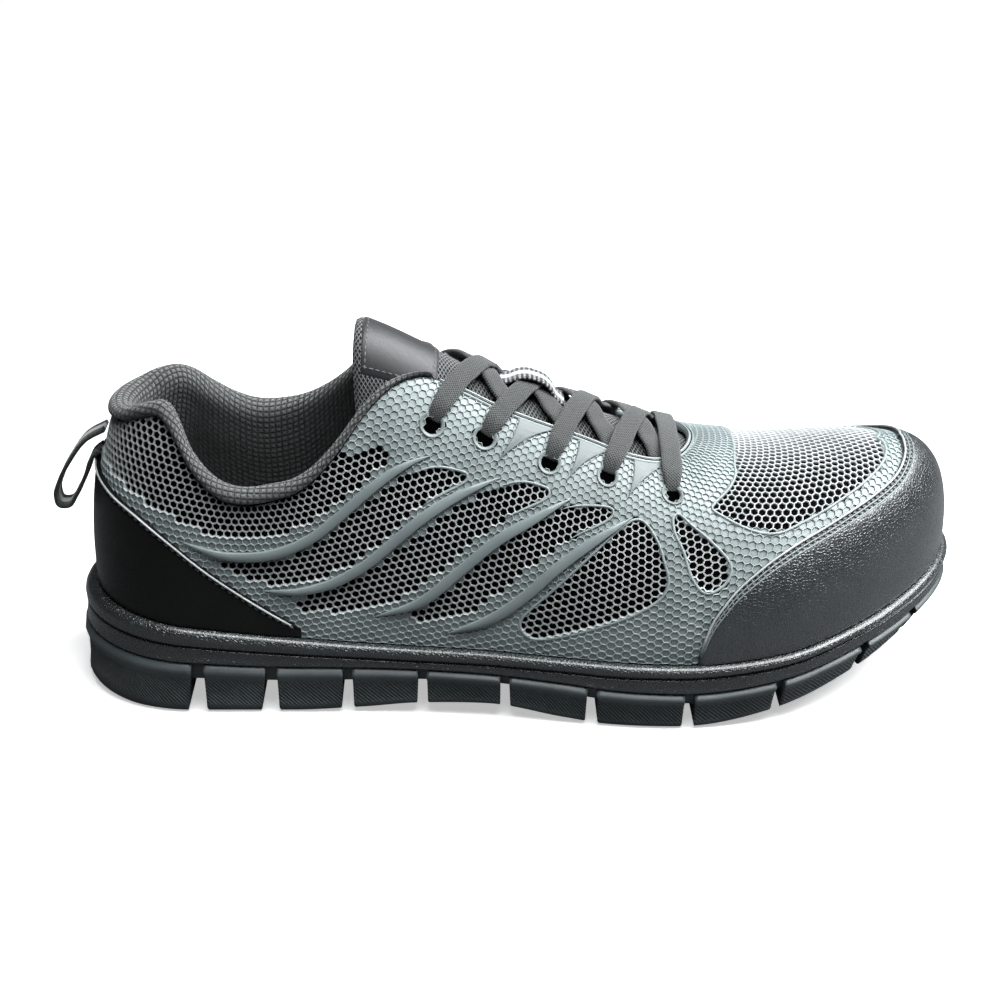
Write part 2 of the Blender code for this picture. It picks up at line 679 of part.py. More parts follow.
# Tongue: a padded tongue that follows the same face from deep in the vamp to above the throat
turns = np.linspace(TONGUE[0, 0], TONGUE[-1, 0], 16)
across = np.concatenate([np.linspace(0, 1, 7), np.linspace(1, 0, 7)[1:]])
sides = np.concatenate([np.full(7, LATERAL), np.full(6, MEDIAL)])
turn_grid = turns[:, None] + 0*across
side_grid = sides + 0*turn_grid.astype(int)
place = smooth(TONGUE, turn_grid, 3)
t = place + (1 - place)*across
crown = smooth(TONGUE, turn_grid, 1)*WALL
margin = WALL + smooth(TONGUE, turn_grid, 2)*COLLAR_PADDING
drop = 1 - across
depth = crown + (margin - crown)*drop*drop*(3 - 2*drop)
thick = TONGUE_THICK*(0.45 + 0.55*np.minimum(1, across*3.0))
plate("tongue", shifted(turn_grid, side_grid, t, depth),
      shifted(turn_grid, side_grid, t, depth + thick))


# Laces: flat strips over the tongue, joined where they cross
def lace_path(start, end, side, over):
    """Points over the ridge from an eyelet on one side to the throat's edge on the other."""
    steps = np.linspace(0, 1, 11)
    turn = start[0] + (end[0] - start[0])*steps
    first = side*np.ones(11)
    first[steps > 0.5] = -side
    up = np.where(steps <= 0.5, start[1] + (1 - start[1])*steps*2, 1 + (end[1] - 1)*(steps*2 - 1))
    up = np.where(steps == 0.5, 1.0, up)
    rise = LACE_THICK/2 + OVERLAY_GAP*1.25 + over*np.sin(math.pi*steps)**2
    path = shifted(turn, first, up, -rise)
    out = upper_out(turn, first, up)
    along = np.gradient(path, axis=0)
    return path, np.cross(along, out)


for number, (turn, t, dive) in enumerate(EYELETS, 1):
    if number == 5:
        path, across = lace_path((turn, t), (turn, t), LATERAL, 0.0)
        swept_strip("lace_bar", path, across, LACE_WIDTH, LACE_THICK)
        continue
    pieces = []
    for side, word in ((LATERAL, "a"), (MEDIAL, "b")):
        name = f"lace_cross_{number}"
        over = LACE_THICK*0.25 if side == MEDIAL else 0.0
        path, across = lace_path((turn, t), (dive, 0.86), side, over)
        pieces.append(swept_strip(name, path, across, LACE_WIDTH, LACE_THICK))
    pieces[1].name = f"lace_strand_{number}"
    shoe.objects.unlink(pieces[1])
    cutters.objects.link(pieces[1])
    pieces[1].display_type, pieces[1].hide_render = "WIRE", True
    join = pieces[0].modifiers.new("other strand", "BOOLEAN")
    join.operation, join.solver, join.object = "UNION", "EXACT", pieces[1]

# Loops: a short one on the tongue that keeps the lace in place, and a long one to pull at the heel
loop_turn = np.array([0.486, 0.4995, 0.503, 0.5075, 0.512, 0.5155, 0.530])
loop_rise = np.array([0.0, 0.02, 0.65, 1.0, 0.65, 0.02, 0.0])*STRAP_ARCH
crown = smooth(TONGUE, loop_turn, 1)*WALL
path = shifted(loop_turn, LATERAL, np.ones(7), crown - STRAP_THICK/2 - OVERLAY_GAP - loop_rise)
swept_strip("tongue_loop", path, np.tile((0.0, 1.0, 0.0), (7, 1)), STRAP_WIDTH, STRAP_THICK)

lean_out = -(OVERLAY_GAP + PULL_THICK*0.2)
high_seam = shifted(0.0, LATERAL, 0.415, lean_out)
low_seam = shifted(0.0, LATERAL, 0.350, lean_out)
path = [high_seam + (low_seam - high_seam)*share - PULL_LENGTH*np.array((back, 0, down))
        for share, back, down in PULL_LOOP]
swept_strip("pull_loop", path, np.tile((0.0, 1.0, 0.0), (len(path), 1)), PULL_WIDTH, PULL_THICK)

# The origin lies on the floor under the heel, where the second block stands flat
for made in list(shoe.objects) + list(cutters.objects):
    made.location.x -= REST_SHARE*SOLE_LENGTH

for made in shoe.objects:
    print(made.name, len(made.data.vertices), "points")
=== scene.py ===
# %% [markdown]
# # A safety sneaker for the right foot
#
# The imported CAD part gives the true size and place of every piece. This script dresses it: each plain
# solid that it covers is hidden and replaced by a piece with the detail of the real shoe.
# It is read from top to bottom, one small step at a time, and everything is in metres.

# %% Load the frame
import math

import bmesh
import bpy
import numpy as np
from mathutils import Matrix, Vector
from mathutils.bvhtree import BVHTree


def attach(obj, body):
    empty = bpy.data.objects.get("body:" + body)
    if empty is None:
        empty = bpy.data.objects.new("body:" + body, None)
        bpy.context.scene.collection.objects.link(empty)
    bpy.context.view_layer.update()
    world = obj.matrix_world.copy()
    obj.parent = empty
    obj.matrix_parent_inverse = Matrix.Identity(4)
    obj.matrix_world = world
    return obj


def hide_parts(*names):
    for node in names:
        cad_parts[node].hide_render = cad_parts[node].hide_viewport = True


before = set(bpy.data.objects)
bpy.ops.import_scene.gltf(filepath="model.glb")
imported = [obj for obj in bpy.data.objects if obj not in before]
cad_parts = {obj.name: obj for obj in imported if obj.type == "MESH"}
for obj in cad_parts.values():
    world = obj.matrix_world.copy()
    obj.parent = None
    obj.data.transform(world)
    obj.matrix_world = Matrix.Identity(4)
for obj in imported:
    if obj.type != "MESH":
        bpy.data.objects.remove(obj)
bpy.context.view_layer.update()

# %% [markdown]
# ## The last
#
# A shoe is shaped over a last, a foot-shaped form. Here the last is a function: `turn` runs round the
# sole's outline from the heel (0) to the toe (1) on either side, and `t` climbs from the sole's lip (0)
# to the ridge over the foot (1). The tables hold shares of a few body sizes, a row for each section.
# They are the same as in the part's own source, so every piece made here lies where its solid lies.

# %% Body sizes
SOLE_LENGTH = 0.305
BALL_WIDTH = 0.110
SOLE_HEEL = 0.035
INSTEP_HEIGHT = 0.118
HEEL_ROUND, TOE_ROUND, TOE_SWING = 0.040, 0.080, 0.018
WALL, GAP, OVERLAY_GAP, OVERLAY = 0.0020, 0.0003, 0.0004, 0.0012
FEATHER_INSET, HEEL_TUCK, CUP_DEPTH, TOE_TAPER = 0.003, 0.004, 0.005, 0.006
COLLAR_PADDING, RIM_HEIGHT, TONGUE_THICK = 0.006, 0.0052, 0.0045
LACE_WIDTH, LACE_THICK = 0.0052, 0.0016
REST_SHARE = 0.177
CLOSED_TURN = 0.6215
LATERAL, MEDIAL = -1, 1
SHIFT = np.array((-REST_SHARE*SOLE_LENGTH, 0.0, 0.0))

# %% Tables of the last
# share of length, lateral and medial half width (shares of the ball width), centre line (share of the swing)
PLAN = np.array([
    (0.00, 0.330, 0.330, 0.00),
    (0.08, 0.342, 0.340, 0.00),
    (0.16, 0.350, 0.343, 0.00),
    (0.25, 0.356, 0.336, 0.00),
    (0.35, 0.368, 0.318, 0.00),
    (0.45, 0.398, 0.325, 0.00),
    (0.55, 0.446, 0.385, 0.00),
    (0.63, 0.482, 0.452, 0.00),
    (0.71, 0.492, 0.486, 0.03),
    (0.79, 0.480, 0.484, 0.16),
    (0.87, 0.452, 0.458, 0.42),
    (0.94, 0.438, 0.432, 0.75),
    (1.00, 0.420, 0.400, 1.00),
])

# share of length; lowest edge, block top, groove and lip top (shares of the heel's sole height);
# how far the lowest edge is tucked in (share of the toe's taper)
SOLE_SIDE = np.array([
    (0.00, 0.05, 0.64, 0.86, 1.07, -0.17),
    (0.07, 0.00, 0.59, 0.80, 1.00, 0.17),
    (0.14, 0.00, 0.545, 0.735, 0.915, 0.25),
    (0.24, 0.00, 0.505, 0.66, 0.82, 0.25),
    (0.32, 0.04, 0.50, 0.62, 0.76, 0.25),
    (0.38, 0.10, 0.495, 0.60, 0.735, 0.25),
    (0.46, 0.13, 0.48, 0.59, 0.72, 0.25),
    (0.54, 0.04, 0.44, 0.575, 0.70, 0.25),
    (0.59, 0.00, 0.40, 0.56, 0.69, 0.25),
    (0.67, 0.00, 0.385, 0.565, 0.685, 0.30),
    (0.78, 0.12, 0.47, 0.63, 0.735, 0.50),
    (0.87, 0.29, 0.61, 0.76, 0.855, 0.67),
    (0.94, 0.44, 0.73, 0.865, 0.975, 0.83),
    (1.00, 0.58, 0.84, 0.96, 1.10, 1.00),
])

# share of length; spine's share of length, ridge height (share of the instep), rise, bulge, crown
SECTION = np.array([
    (0.00, 0.150, 1.08, 0.50, 0.04, 0.66),
    (0.08, 0.165, 1.09, 0.50, 0.04, 0.68),
    (0.16, 0.200, 1.11, 0.50, 0.03, 0.74),
    (0.25, 0.260, 1.12, 0.50, 0.00, 0.80),
    (0.32, 0.320, 1.09, 0.50, 0.00, 0.77),
    (0.40, 0.400, 1.00, 0.50, 0.00, 0.68),
    (0.48, 0.480, 0.900, 0.50, 0.00, 0.60),
    (0.58, 0.580, 0.81, 0.50, 0.00, 0.60),
    (0.68, 0.680, 0.727, 0.55, 0.02, 0.64),
    (0.78, 0.768, 0.685, 0.60, 0.04, 0.70),
    (0.88, 0.842, 0.672, 0.66, 0.05, 0.77),
    (1.00, 0.890, 0.668, 0.72, 0.05, 0.80),
])

# turn round the outline; upper's top edge on each side, as a share of the way up its section
TOP_EDGE = np.array([
    (0.000, 0.475, 0.475),
    (0.060, 0.478, 0.475),
    (0.120, 0.495, 0.480),
    (0.165, 0.525, 0.495),
    (0.198, 0.530, 0.492),
    (0.220, 0.480, 0.470),
    (0.245, 0.385, 0.425),
    (0.270, 0.322, 0.385),
    (0.292, 0.305, 0.365),
    (0.315, 0.315, 0.368),
    (0.343, 0.350, 0.400),
    (0.370, 0.450, 0.480),
    (0.394, 0.595, 0.610),
    (0.413, 0.705, 0.710),
    (0.432, 0.780, 0.780),
    (0.455, 0.800, 0.800),
    (0.480, 0.790, 0.790),
    (0.540, 0.772, 0.772),
    (0.575, 0.755, 0.755),
    (0.595, 0.775, 0.775),
    (0.612, 0.850, 0.850),
    (0.620, 0.920, 0.920),
])

# turn; how far up the section the toe cap reaches
CAP_SEAM = np.array([
    (0.6215, 0.030),
    (0.628, 0.125),
    (0.641, 0.223),
    (0.669, 0.345),
    (0.696, 0.420),
    (0.740, 0.492),
    (0.789, 0.555),
    (0.841, 0.613),
    (0.890, 0.690),
    (0.940, 0.760),
    (1.000, 0.800),
])

# turn; how far up the section the heel counter reaches
COUNTER_SEAM = np.array([
    (0.000, 0.325),
    (0.060, 0.320),
    (0.130, 0.297),
    (0.184, 0.263),
    (0.220, 0.217),
    (0.259, 0.147),
    (0.297, 0.084),
    (0.337, 0.022),
])

# turn; shares of the collar's padding and of its rolled rim
COLLAR_PAD = np.array([
    (0.00, 0.83, 1.00),
    (0.20, 1.00, 1.00),
    (0.30, 0.97, 0.95),
    (0.35, 0.67, 0.85),
    (0.38, 0.50, 0.75),
    (0.41, 0.34, 0.48),
    (0.44, 0.22, 0.22),
])

# turn; depth of the tongue under the upper's face at its crown (share of the wall) and at its edge
# (share of the collar's padding, below the wall); where its edge lies
TONGUE = np.array([
    (0.385, 0.20, 1.42, 0.50),
    (0.405, 0.20, 1.25, 0.52),
    (0.430, 0.40, 1.00, 0.56),
    (0.455, 0.70, 0.80, 0.60),
    (0.520, 1.00, 0.67, 0.62),
    (0.600, 1.40, 0.60, 0.62),
    (0.660, 1.70, 0.53, 0.68),
])

# turn and height share of each eyelet, from the top pair down
EYELETS = ((0.437, 0.613), (0.473, 0.633), (0.517, 0.620), (0.557, 0.633), (0.603, 0.625))

# share of length; width at the floor and at the top of each cut between blocks (shares of BLOCK_CUT)
BLOCK_CUTS = (
    (0.136, 1.52, 0.95),
    (0.217, 1.43, 0.90),
    (0.303, 1.00, 0.76),
    (0.386, 0.86, 0.71),
    (0.477, 0.81, 0.71),
    (0.571, 1.00, 0.76),
    (0.677, 1.00, 0.81),
    (0.777, 0.86, 0.71),
    (0.877, 0.86, 0.71),
    (0.942, 0.67, 0.57),
)

# outwards (share of the wall, inwards of padding) and up (share of the rim's height)
RIM = ((0.50, 0.00), (0.55, 0.35), (0.05, 0.70), (-1.10, 0.92))

# share of the way from the upper seam to the lower; back and down in shares of the pull loop's length
PULL_LOOP = (
    (0.0, 0.00, 0.00), (0.0, 0.24, 0.13), (0.0, 0.47, 0.41), (0.0, 0.645, 0.715),
    (0.0, 0.71, 0.92), (0.2, 0.66, 1.00), (0.5, 0.52, 0.92), (0.7, 0.38, 0.70),
    (0.9, 0.22, 0.36), (1.0, 0.10, 0.08), (1.0, 0.00, 0.00),
)

LOWEST, BLOCK_TOP, GROOVE, LIP_TOP = range(1, 5)

# %% Functions of the last
def smooth(table, share, column, steady=False):
    """Cubic through a column of a table; steady keeps level stretches exactly level."""
    x, y = table[:, 0], table[:, column]
    slope = np.gradient(y, x)
    if steady:
        step = np.diff(y)/np.diff(x)
        left, right = np.append(step[0], step), np.append(step, step[-1])
        slope = np.where(left*right > 0, 2*left*right/(left + right + 1e-12), 0.0)
    share = np.clip(share, x[0], x[-1])
    i = np.clip(np.searchsorted(x, share, side="right") - 1, 0, len(x) - 2)
    h = x[i + 1] - x[i]
    u = (share - x[i])/h
    return ((2*u**3 - 3*u**2 + 1)*y[i] + (u**3 - 2*u**2 + u)*h*slope[i]
            + (3*u**2 - 2*u**3)*y[i + 1] + (u**3 - u**2)*h*slope[i + 1])


def outline(turn, side):
    """The sole's outline; turn runs from 0 at the back of the heel to 1 at the toe's tip."""
    share = (1 - np.cos(math.pi*turn))/2
    x = share*SOLE_LENGTH
    heel = np.clip(1 - x/HEEL_ROUND, 0, 1)
    toe = np.clip(1 - (SOLE_LENGTH - x)/TOE_ROUND, 0, 1)
    rounding = np.sqrt(np.clip(1 - heel**2.15, 0, 1))*np.sqrt(np.clip(1 - toe**2.4, 0, 1))
    half = np.where(side < 0, smooth(PLAN, share, 1), smooth(PLAN, share, 2))*BALL_WIDTH
    return x, smooth(PLAN, share, 3)*TOE_SWING + side*half*rounding


def outline_inset(turn, side, inset):
    """The outline moved inwards along its own normal."""
    d = 1e-4
    x, y = outline(turn, side)
    x0, y0 = outline(np.clip(turn - d, 0, 1), side)
    x1, y1 = outline(np.clip(turn + d, 0, 1), side)
    tip = (turn < d) | (turn > 1 - d)
    tx = np.where(tip, 0, x1 - x0)
    ty = np.where(turn < d, side, np.where(turn > 1 - d, -side, y1 - y0))
    size = np.hypot(tx, ty)
    return x + side*ty/size*inset, y - side*tx/size*inset


def side_level(turn, side, level):
    """Height of one of the sole's levels at a turn."""
    share = outline(turn, side)[0]/SOLE_LENGTH
    return smooth(SOLE_SIDE, share, level, steady=True)*SOLE_HEEL


def tuck(turn, side):
    """How far the heel's back leans in above the blocks."""
    x = outline(turn, side)[0]
    return HEEL_TUCK*np.clip(1 - x/HEEL_ROUND, 0, 1)**2


def bezier(a, b, c, d, t):
    u = 1 - t
    return a*u**3 + 3*b*u*u*t + 3*c*u*t*t + d*t**3


def upper_face(turn, side, t):
    """Outer face of the upper: t runs from the feather edge (0) to the ridge (1)."""
    turn, side, t = np.broadcast_arrays(turn, side, t)
    share = outline(turn, side)[0]/SOLE_LENGTH
    bx, by = outline_inset(turn, side, FEATHER_INSET + tuck(turn, side))
    zf = side_level(turn, side, LIP_TOP)
    sx = smooth(SECTION, share, 1)*SOLE_LENGTH
    sy = smooth(PLAN, sx/SOLE_LENGTH, 3)*TOE_SWING
    zr = smooth(SECTION, share, 2)*INSTEP_HEIGHT
    a = bezier(1, 1 + smooth(SECTION, share, 4), smooth(SECTION, share, 5), 0, t)
    c = bezier(0, smooth(SECTION, share, 3), 1, 1, t)
    return np.stack([sx + (bx - sx)*a, sy + (by - sy)*a, zf + (zr - zf)*c], -1)


def around(turn, side):
    """Fold a turn that runs past the heel's back or the toe's tip onto the other side."""
    side = np.where((turn < 0) | (turn > 1), -side, side)
    return np.where(turn < 0, -turn, np.where(turn > 1, 2 - turn, turn)), side


def upper_out(turn, side, t):
    """Unit normal of the upper's outer face, pointing out of the shoe."""
    d = 1e-3
    turn, side, t = np.broadcast_arrays(np.asarray(turn, float), side, np.asarray(t, float))
    after, before = around(turn + d, side), around(turn - d, side)
    along = upper_face(after[0], after[1], t) - upper_face(before[0], before[1], t)
    up = (upper_face(turn, side, np.minimum(t + d, 1))
          - upper_face(turn, side, np.maximum(t - d, 0)))
    out = np.cross(along, up)*-side[..., None]
    share = outline(turn, side)[0]/SOLE_LENGTH
    s0, s1 = np.clip(share - 0.01, 0, 1), np.clip(share + 0.01, 0, 1)
    run = (smooth(SECTION, s1, 1) - smooth(SECTION, s0, 1))*SOLE_LENGTH
    rise = (smooth(SECTION, s1, 2) - smooth(SECTION, s0, 2))*INSTEP_HEIGHT
    ridge = np.stack([-rise, np.zeros_like(rise), run], -1)
    out = np.where(t[..., None] > 1 - 1e-6, ridge, out)
    return out/np.linalg.norm(out, axis=-1, keepdims=True)


def shifted(turn, side, t, depth):
    """A point that lies a given depth under (or, if negative, above) the upper's outer face."""
    point, out = upper_face(turn, side, t), upper_out(turn, side, t)
    return point - out*np.asarray(depth)[..., None]

print("ball section, crown height", upper_face(0.5, LATERAL, 1.0)[2].round(4))

# %% [markdown]
# ## Helpers for meshes
#
# Most pieces below are worked out as grids of points. A helper turns points and faces into a named
# object whose place is in its mesh, and another closes two grids into a thin plate.


# %% Mesh helpers
def make_mesh(name, points, faces, material, flat=False, uv=None):
    """A piece from points (shoe frame) and faces; uv holds one pair for each point."""
    mesh = bpy.data.meshes.new(name)
    mesh.from_pydata((np.asarray(points) + SHIFT).tolist(), [], [tuple(map(int, f)) for f in faces])
    if uv is not None:
        layer = mesh.uv_layers.new(name="UVMap")
        corner = np.empty(len(mesh.loops), np.int32)
        mesh.loops.foreach_get("vertex_index", corner)
        layer.data.foreach_set("uv", np.asarray(uv, np.float32)[corner].ravel())
    mesh.materials.append(material)
    mesh.polygons.foreach_set("use_smooth", [not flat]*len(mesh.polygons))
    made = bpy.data.objects.new(name, mesh)
    bpy.context.scene.collection.objects.link(made)
    return made


def tidy_mesh(made, merge=1e-5):
    """Merge doubles and turn every face outwards."""
    shape = bmesh.new()
    shape.from_mesh(made.data)
    bmesh.ops.remove_doubles(shape, verts=shape.verts, dist=merge)
    bmesh.ops.dissolve_degenerate(shape, edges=shape.edges, dist=merge*0.1)
    bmesh.ops.recalc_face_normals(shape, faces=shape.faces)
    shape.to_mesh(made.data)
    shape.free()
    return made


def grid_faces(rows, columns, wrap_columns=False):
    """Quads between neighbours of a grid; wrapped columns close it into a tube."""
    index = np.arange(rows*columns).reshape(rows, columns)
    if wrap_columns:
        index = np.concatenate([index, index[:, :1]], 1)
    return np.stack([index[:-1, :-1], index[:-1, 1:], index[1:, 1:], index[1:, :-1]], -1).reshape(-1, 4)


def closed_plate(name, outer, inner, material, uv=None, flat=False):
    """A thin solid between two grids of points, closed along its four edges."""
    rows, columns = outer.shape[:2]
    under = rows*columns
    index = np.arange(under).reshape(rows, columns)
    faces = grid_faces(rows, columns).tolist()
    faces += [tuple(v + under for v in f[::-1]) for f in faces]
    rim = [*index[0], *index[1:, -1], *index[-1, -2::-1], *index[-2:0:-1, 0]]
    faces += [(a, b, b + under, a + under) for a, b in zip(rim, rim[1:] + rim[:1])]
    points = np.concatenate([outer.reshape(-1, 3), inner.reshape(-1, 3)])
    if uv is not None:
        uv = np.concatenate([uv.reshape(-1, 2)]*2)
    return tidy_mesh(make_mesh(name, points, faces, material, flat, uv))


def lengths_along(points, axis=0):
    """Distance covered along one axis of a grid of points."""
    step = np.linalg.norm(np.diff(points, axis=axis), axis=-1)
    return np.concatenate([np.zeros_like(np.take(step, [0], axis)), np.cumsum(step, axis)], axis)


# %% [markdown]
# ## Finishes
#
# A finish is a node tree on the Principled shader. Grain, weave and threads are small heights fed to
# Bump nodes, with the distance set in metres, so that they keep their real size. Patterns that must
# follow a piece, such as a weave, read its UV map, which is laid out in metres as well.


# %% Node helpers
def new_finish(name, colour, roughness, **sockets):
    paint = bpy.data.materials.new(name)
    paint.use_nodes = True
    shader = paint.node_tree.nodes["Principled BSDF"]
    shader.inputs["Base Color"].default_value = (*colour, 1)
    shader.inputs["Roughness"].default_value = roughness
    for label, value in sockets.items():
        shader.inputs[label.replace("_", " ")].default_value = value
    return paint, paint.node_tree, shader


def node(tree, kind, wires=(), **settings):
    """A shader node; wires pairs an input's name or number with a socket or a plain value."""
    made = tree.nodes.new("ShaderNode" + kind)
    for label, value in settings.items():
        setattr(made, label, value)
    for label, value in dict(wires).items():
        if isinstance(value, bpy.types.NodeSocket):
            tree.links.new(value, made.inputs[label])
        else:
            made.inputs[label].default_value = value
    return made


def maths(tree, operation, a, b=0.0):
    return node(tree, "Math", {0: a, 1: b}, operation=operation).outputs[0]


def bump(tree, shader, height, distance, strength=1.0):
    """Lay one more height over the bumps that the shader already has."""
    step = node(tree, "Bump", {"Height": height, "Distance": distance, "Strength": strength})
    below = [link for link in tree.links if link.to_socket == shader.inputs["Normal"]]
    if below:
        tree.links.new(below[0].from_socket, step.inputs["Normal"])
    tree.links.new(step.outputs[0], shader.inputs["Normal"])
    return step


def own_place(tree):
    return node(tree, "TexCoord").outputs["Object"]


def own_uv(tree):
    apart = node(tree, "SeparateXYZ", {0: node(tree, "TexCoord").outputs["UV"]})
    return apart.outputs[0], apart.outputs[1]


def noise(tree, size, detail=3.0, roughness=0.55):
    wires = {"Vector": own_place(tree), "Scale": 1/size, "Detail": detail, "Roughness": roughness}
    return node(tree, "TexNoise", wires).outputs["Fac"]


def between(tree, share, low, high):
    """A colour between two, chosen by a share from 0 to 1."""
    ramp = node(tree, "ValToRGB", {0: share})
    ramp.color_ramp.elements[0].color = (*low, 1)
    ramp.color_ramp.elements[1].color = (*high, 1)
    return ramp


def tinted(tree, shader, share, low, high, first=0.3, last=0.7):
    ramp = between(tree, share, low, high)
    ramp.color_ramp.elements[0].position, ramp.color_ramp.elements[1].position = first, last
    tree.links.new(ramp.outputs[0], shader.inputs["Base Color"])
    return ramp


def roughened(tree, shader, share, low, high):
    spread = node(tree, "MapRange", {0: share, 3: low, 4: high})
    tree.links.new(spread.outputs[0], shader.inputs["Roughness"])


def ripple(tree, along, pitch):
    """A wave from -1 to 1 with the given pitch in metres."""
    return maths(tree, "SINE", maths(tree, "MULTIPLY", along, 2*math.pi/pitch))


# %% [markdown]
# Moulded film, ribs and rubber are smooth plastics with a faint cloudiness in colour and gloss. The
# leathers add pebbles, which are the cells of a Voronoi texture, pressed in where two cells meet.


# %% Plastic and leather
def plastic(name, dark, light, rough, micro=0.00035, depth=0.00002, cloud=0.02, ridge=None, **sockets):
    """ridge is the painted light: how much darker a hollow is painted as shade and how much lighter a ridge
    is painted as highlight, by the points' own `ridge` value.
    """
    paint, tree, shader = new_finish(name, light, rough[0], **sockets)
    ramp = tinted(tree, shader, noise(tree, cloud), dark, light)
    # Painted shade and highlight: the colour is scaled by the points' `ridge` value, down in the hollows and
    # up on the ridges.
    if ridge:
        high = node(tree, "Attribute", attribute_name="ridge").outputs["Fac"]
        share = node(tree, "MapRange", {0: high, 3: ridge[0], 4: ridge[1]}).outputs[0]
        scaled = node(tree, "VectorMath", {0: ramp.outputs[0], "Scale": share}, operation="SCALE")
        tree.links.new(scaled.outputs[0], shader.inputs["Base Color"])
    roughened(tree, shader, noise(tree, cloud*0.35, 4.0), *rough)
    bump(tree, shader, noise(tree, micro, 2.0), depth)
    return paint, tree, shader


def leather(name, dark, light, rough, pebble, depth, **sockets):
    paint, tree, shader = new_finish(name, light, rough[0], **sockets)
    tinted(tree, shader, noise(tree, 0.012), dark, light)
    wires = {"Vector": own_place(tree), "Scale": 1/pebble, "Randomness": 1.0}
    edge = node(tree, "TexVoronoi", wires, feature="DISTANCE_TO_EDGE").outputs["Distance"]
    pebbles = node(tree, "MapRange", {0: edge, 1: 0.0, 2: 0.32}, interpolation_type="SMOOTHSTEP").outputs[0]
    roughened(tree, shader, pebbles, rough[1], rough[0])
    bump(tree, shader, noise(tree, pebble*6, 3.0), depth*1.6, 0.6)
    bump(tree, shader, pebbles, depth)
    bump(tree, shader, noise(tree, pebble*0.35, 2.0), depth*0.25)
    return paint, tree, shader


# The film's ridge range paints shade into each dimple and a highlight on the ridge round it.
film_grey = plastic("moulded_film", (0.225, 0.258, 0.262), (0.302, 0.340, 0.343), (0.34, 0.48),
                    ridge=(0.55, 1.18))[0]
rib_grey = plastic("smooth_rib", (0.165, 0.192, 0.197), (0.205, 0.236, 0.240), (0.30, 0.42))[0]
piping_silver = plastic("silver_piping", (0.27, 0.285, 0.285), (0.36, 0.375, 0.375), (0.30, 0.44))[0]
panel_grey = plastic("smooth_panel", (0.090, 0.105, 0.108), (0.112, 0.130, 0.133), (0.40, 0.52))[0]
# Near-black without gloss: painted shade at the bottom of the eyelets' holes, and the dark line of the
# binding's seam.
hole_black = plastic("hole_black", (0.0005, 0.0005, 0.0005), (0.001, 0.001, 0.001), (0.7, 0.9),
                     Specular_IOR_Level=0.0)[0]
cap_leather = leather("cap_leather", (0.008, 0.0098, 0.0108), (0.014, 0.0172, 0.0190), (0.24, 0.38),
                      0.0010, 0.00013, Coat_Weight=1.0, Coat_Roughness=0.33, Specular_IOR_Level=0.9)[0]
counter_leather, _tree, _shader = leather("counter_leather", (0.003, 0.003, 0.003), (0.005, 0.0048, 0.0045),
                                          (0.30, 0.42), 0.0008, 0.00006, Coat_Weight=0.12,
                                          Coat_Roughness=0.30, Specular_IOR_Level=0.16)
print("plastics and leathers ready")

# %% [markdown]
# Cloths are drawn along the piece: `u` runs with it and `v` across. The collar's knit is a grid of small
# pillows, the laces and straps are woven, and the tongue is a fine net with a dark hole in each cell.


# %% Knit, net and thread
def pillow_grid(tree, pitch_u, pitch_v):
    u, v = own_uv(tree)
    across = maths(tree, "ABSOLUTE", ripple(tree, u, pitch_u*2))
    along = maths(tree, "ABSOLUTE", ripple(tree, v, pitch_v*2))
    return maths(tree, "POWER", maths(tree, "MINIMUM", across, along), 0.6)


def knit(name, dark, light, pitch=0.0021, depth=0.0008):
    paint, tree, shader = new_finish(name, light, 0.9, Sheen_Weight=0.35, Sheen_Roughness=0.5)
    pillows = pillow_grid(tree, pitch, pitch)
    tinted(tree, shader, pillows, dark, light, 0.38, 0.95)
    u, v = own_uv(tree)
    loops = maths(tree, "MULTIPLY", ripple(tree, maths(tree, "ADD", u, v), 0.0006), ripple(tree, v, 0.0005))
    bump(tree, shader, pillows, depth)
    bump(tree, shader, loops, 0.00008)
    return paint


def net(name, thread, hole, pitch, depth, sheen=0.2):
    paint, tree, shader = new_finish(name, thread, 0.8, Sheen_Weight=sheen, Specular_IOR_Level=sheen)
    u, v = own_uv(tree)
    one = ripple(tree, maths(tree, "ADD", u, maths(tree, "MULTIPLY", v, 0.6)), pitch*2)
    two = ripple(tree, maths(tree, "SUBTRACT", u, maths(tree, "MULTIPLY", v, 0.6)), pitch*2)
    opening = maths(tree, "MINIMUM", maths(tree, "ABSOLUTE", one), maths(tree, "ABSOLUTE", two))
    tinted(tree, shader, opening, thread, hole, 0.16, 0.50)
    bump(tree, shader, maths(tree, "SUBTRACT", 1.0, opening), depth)
    bump(tree, shader, noise(tree, 0.0004, 2.0), 0.00005)
    return paint


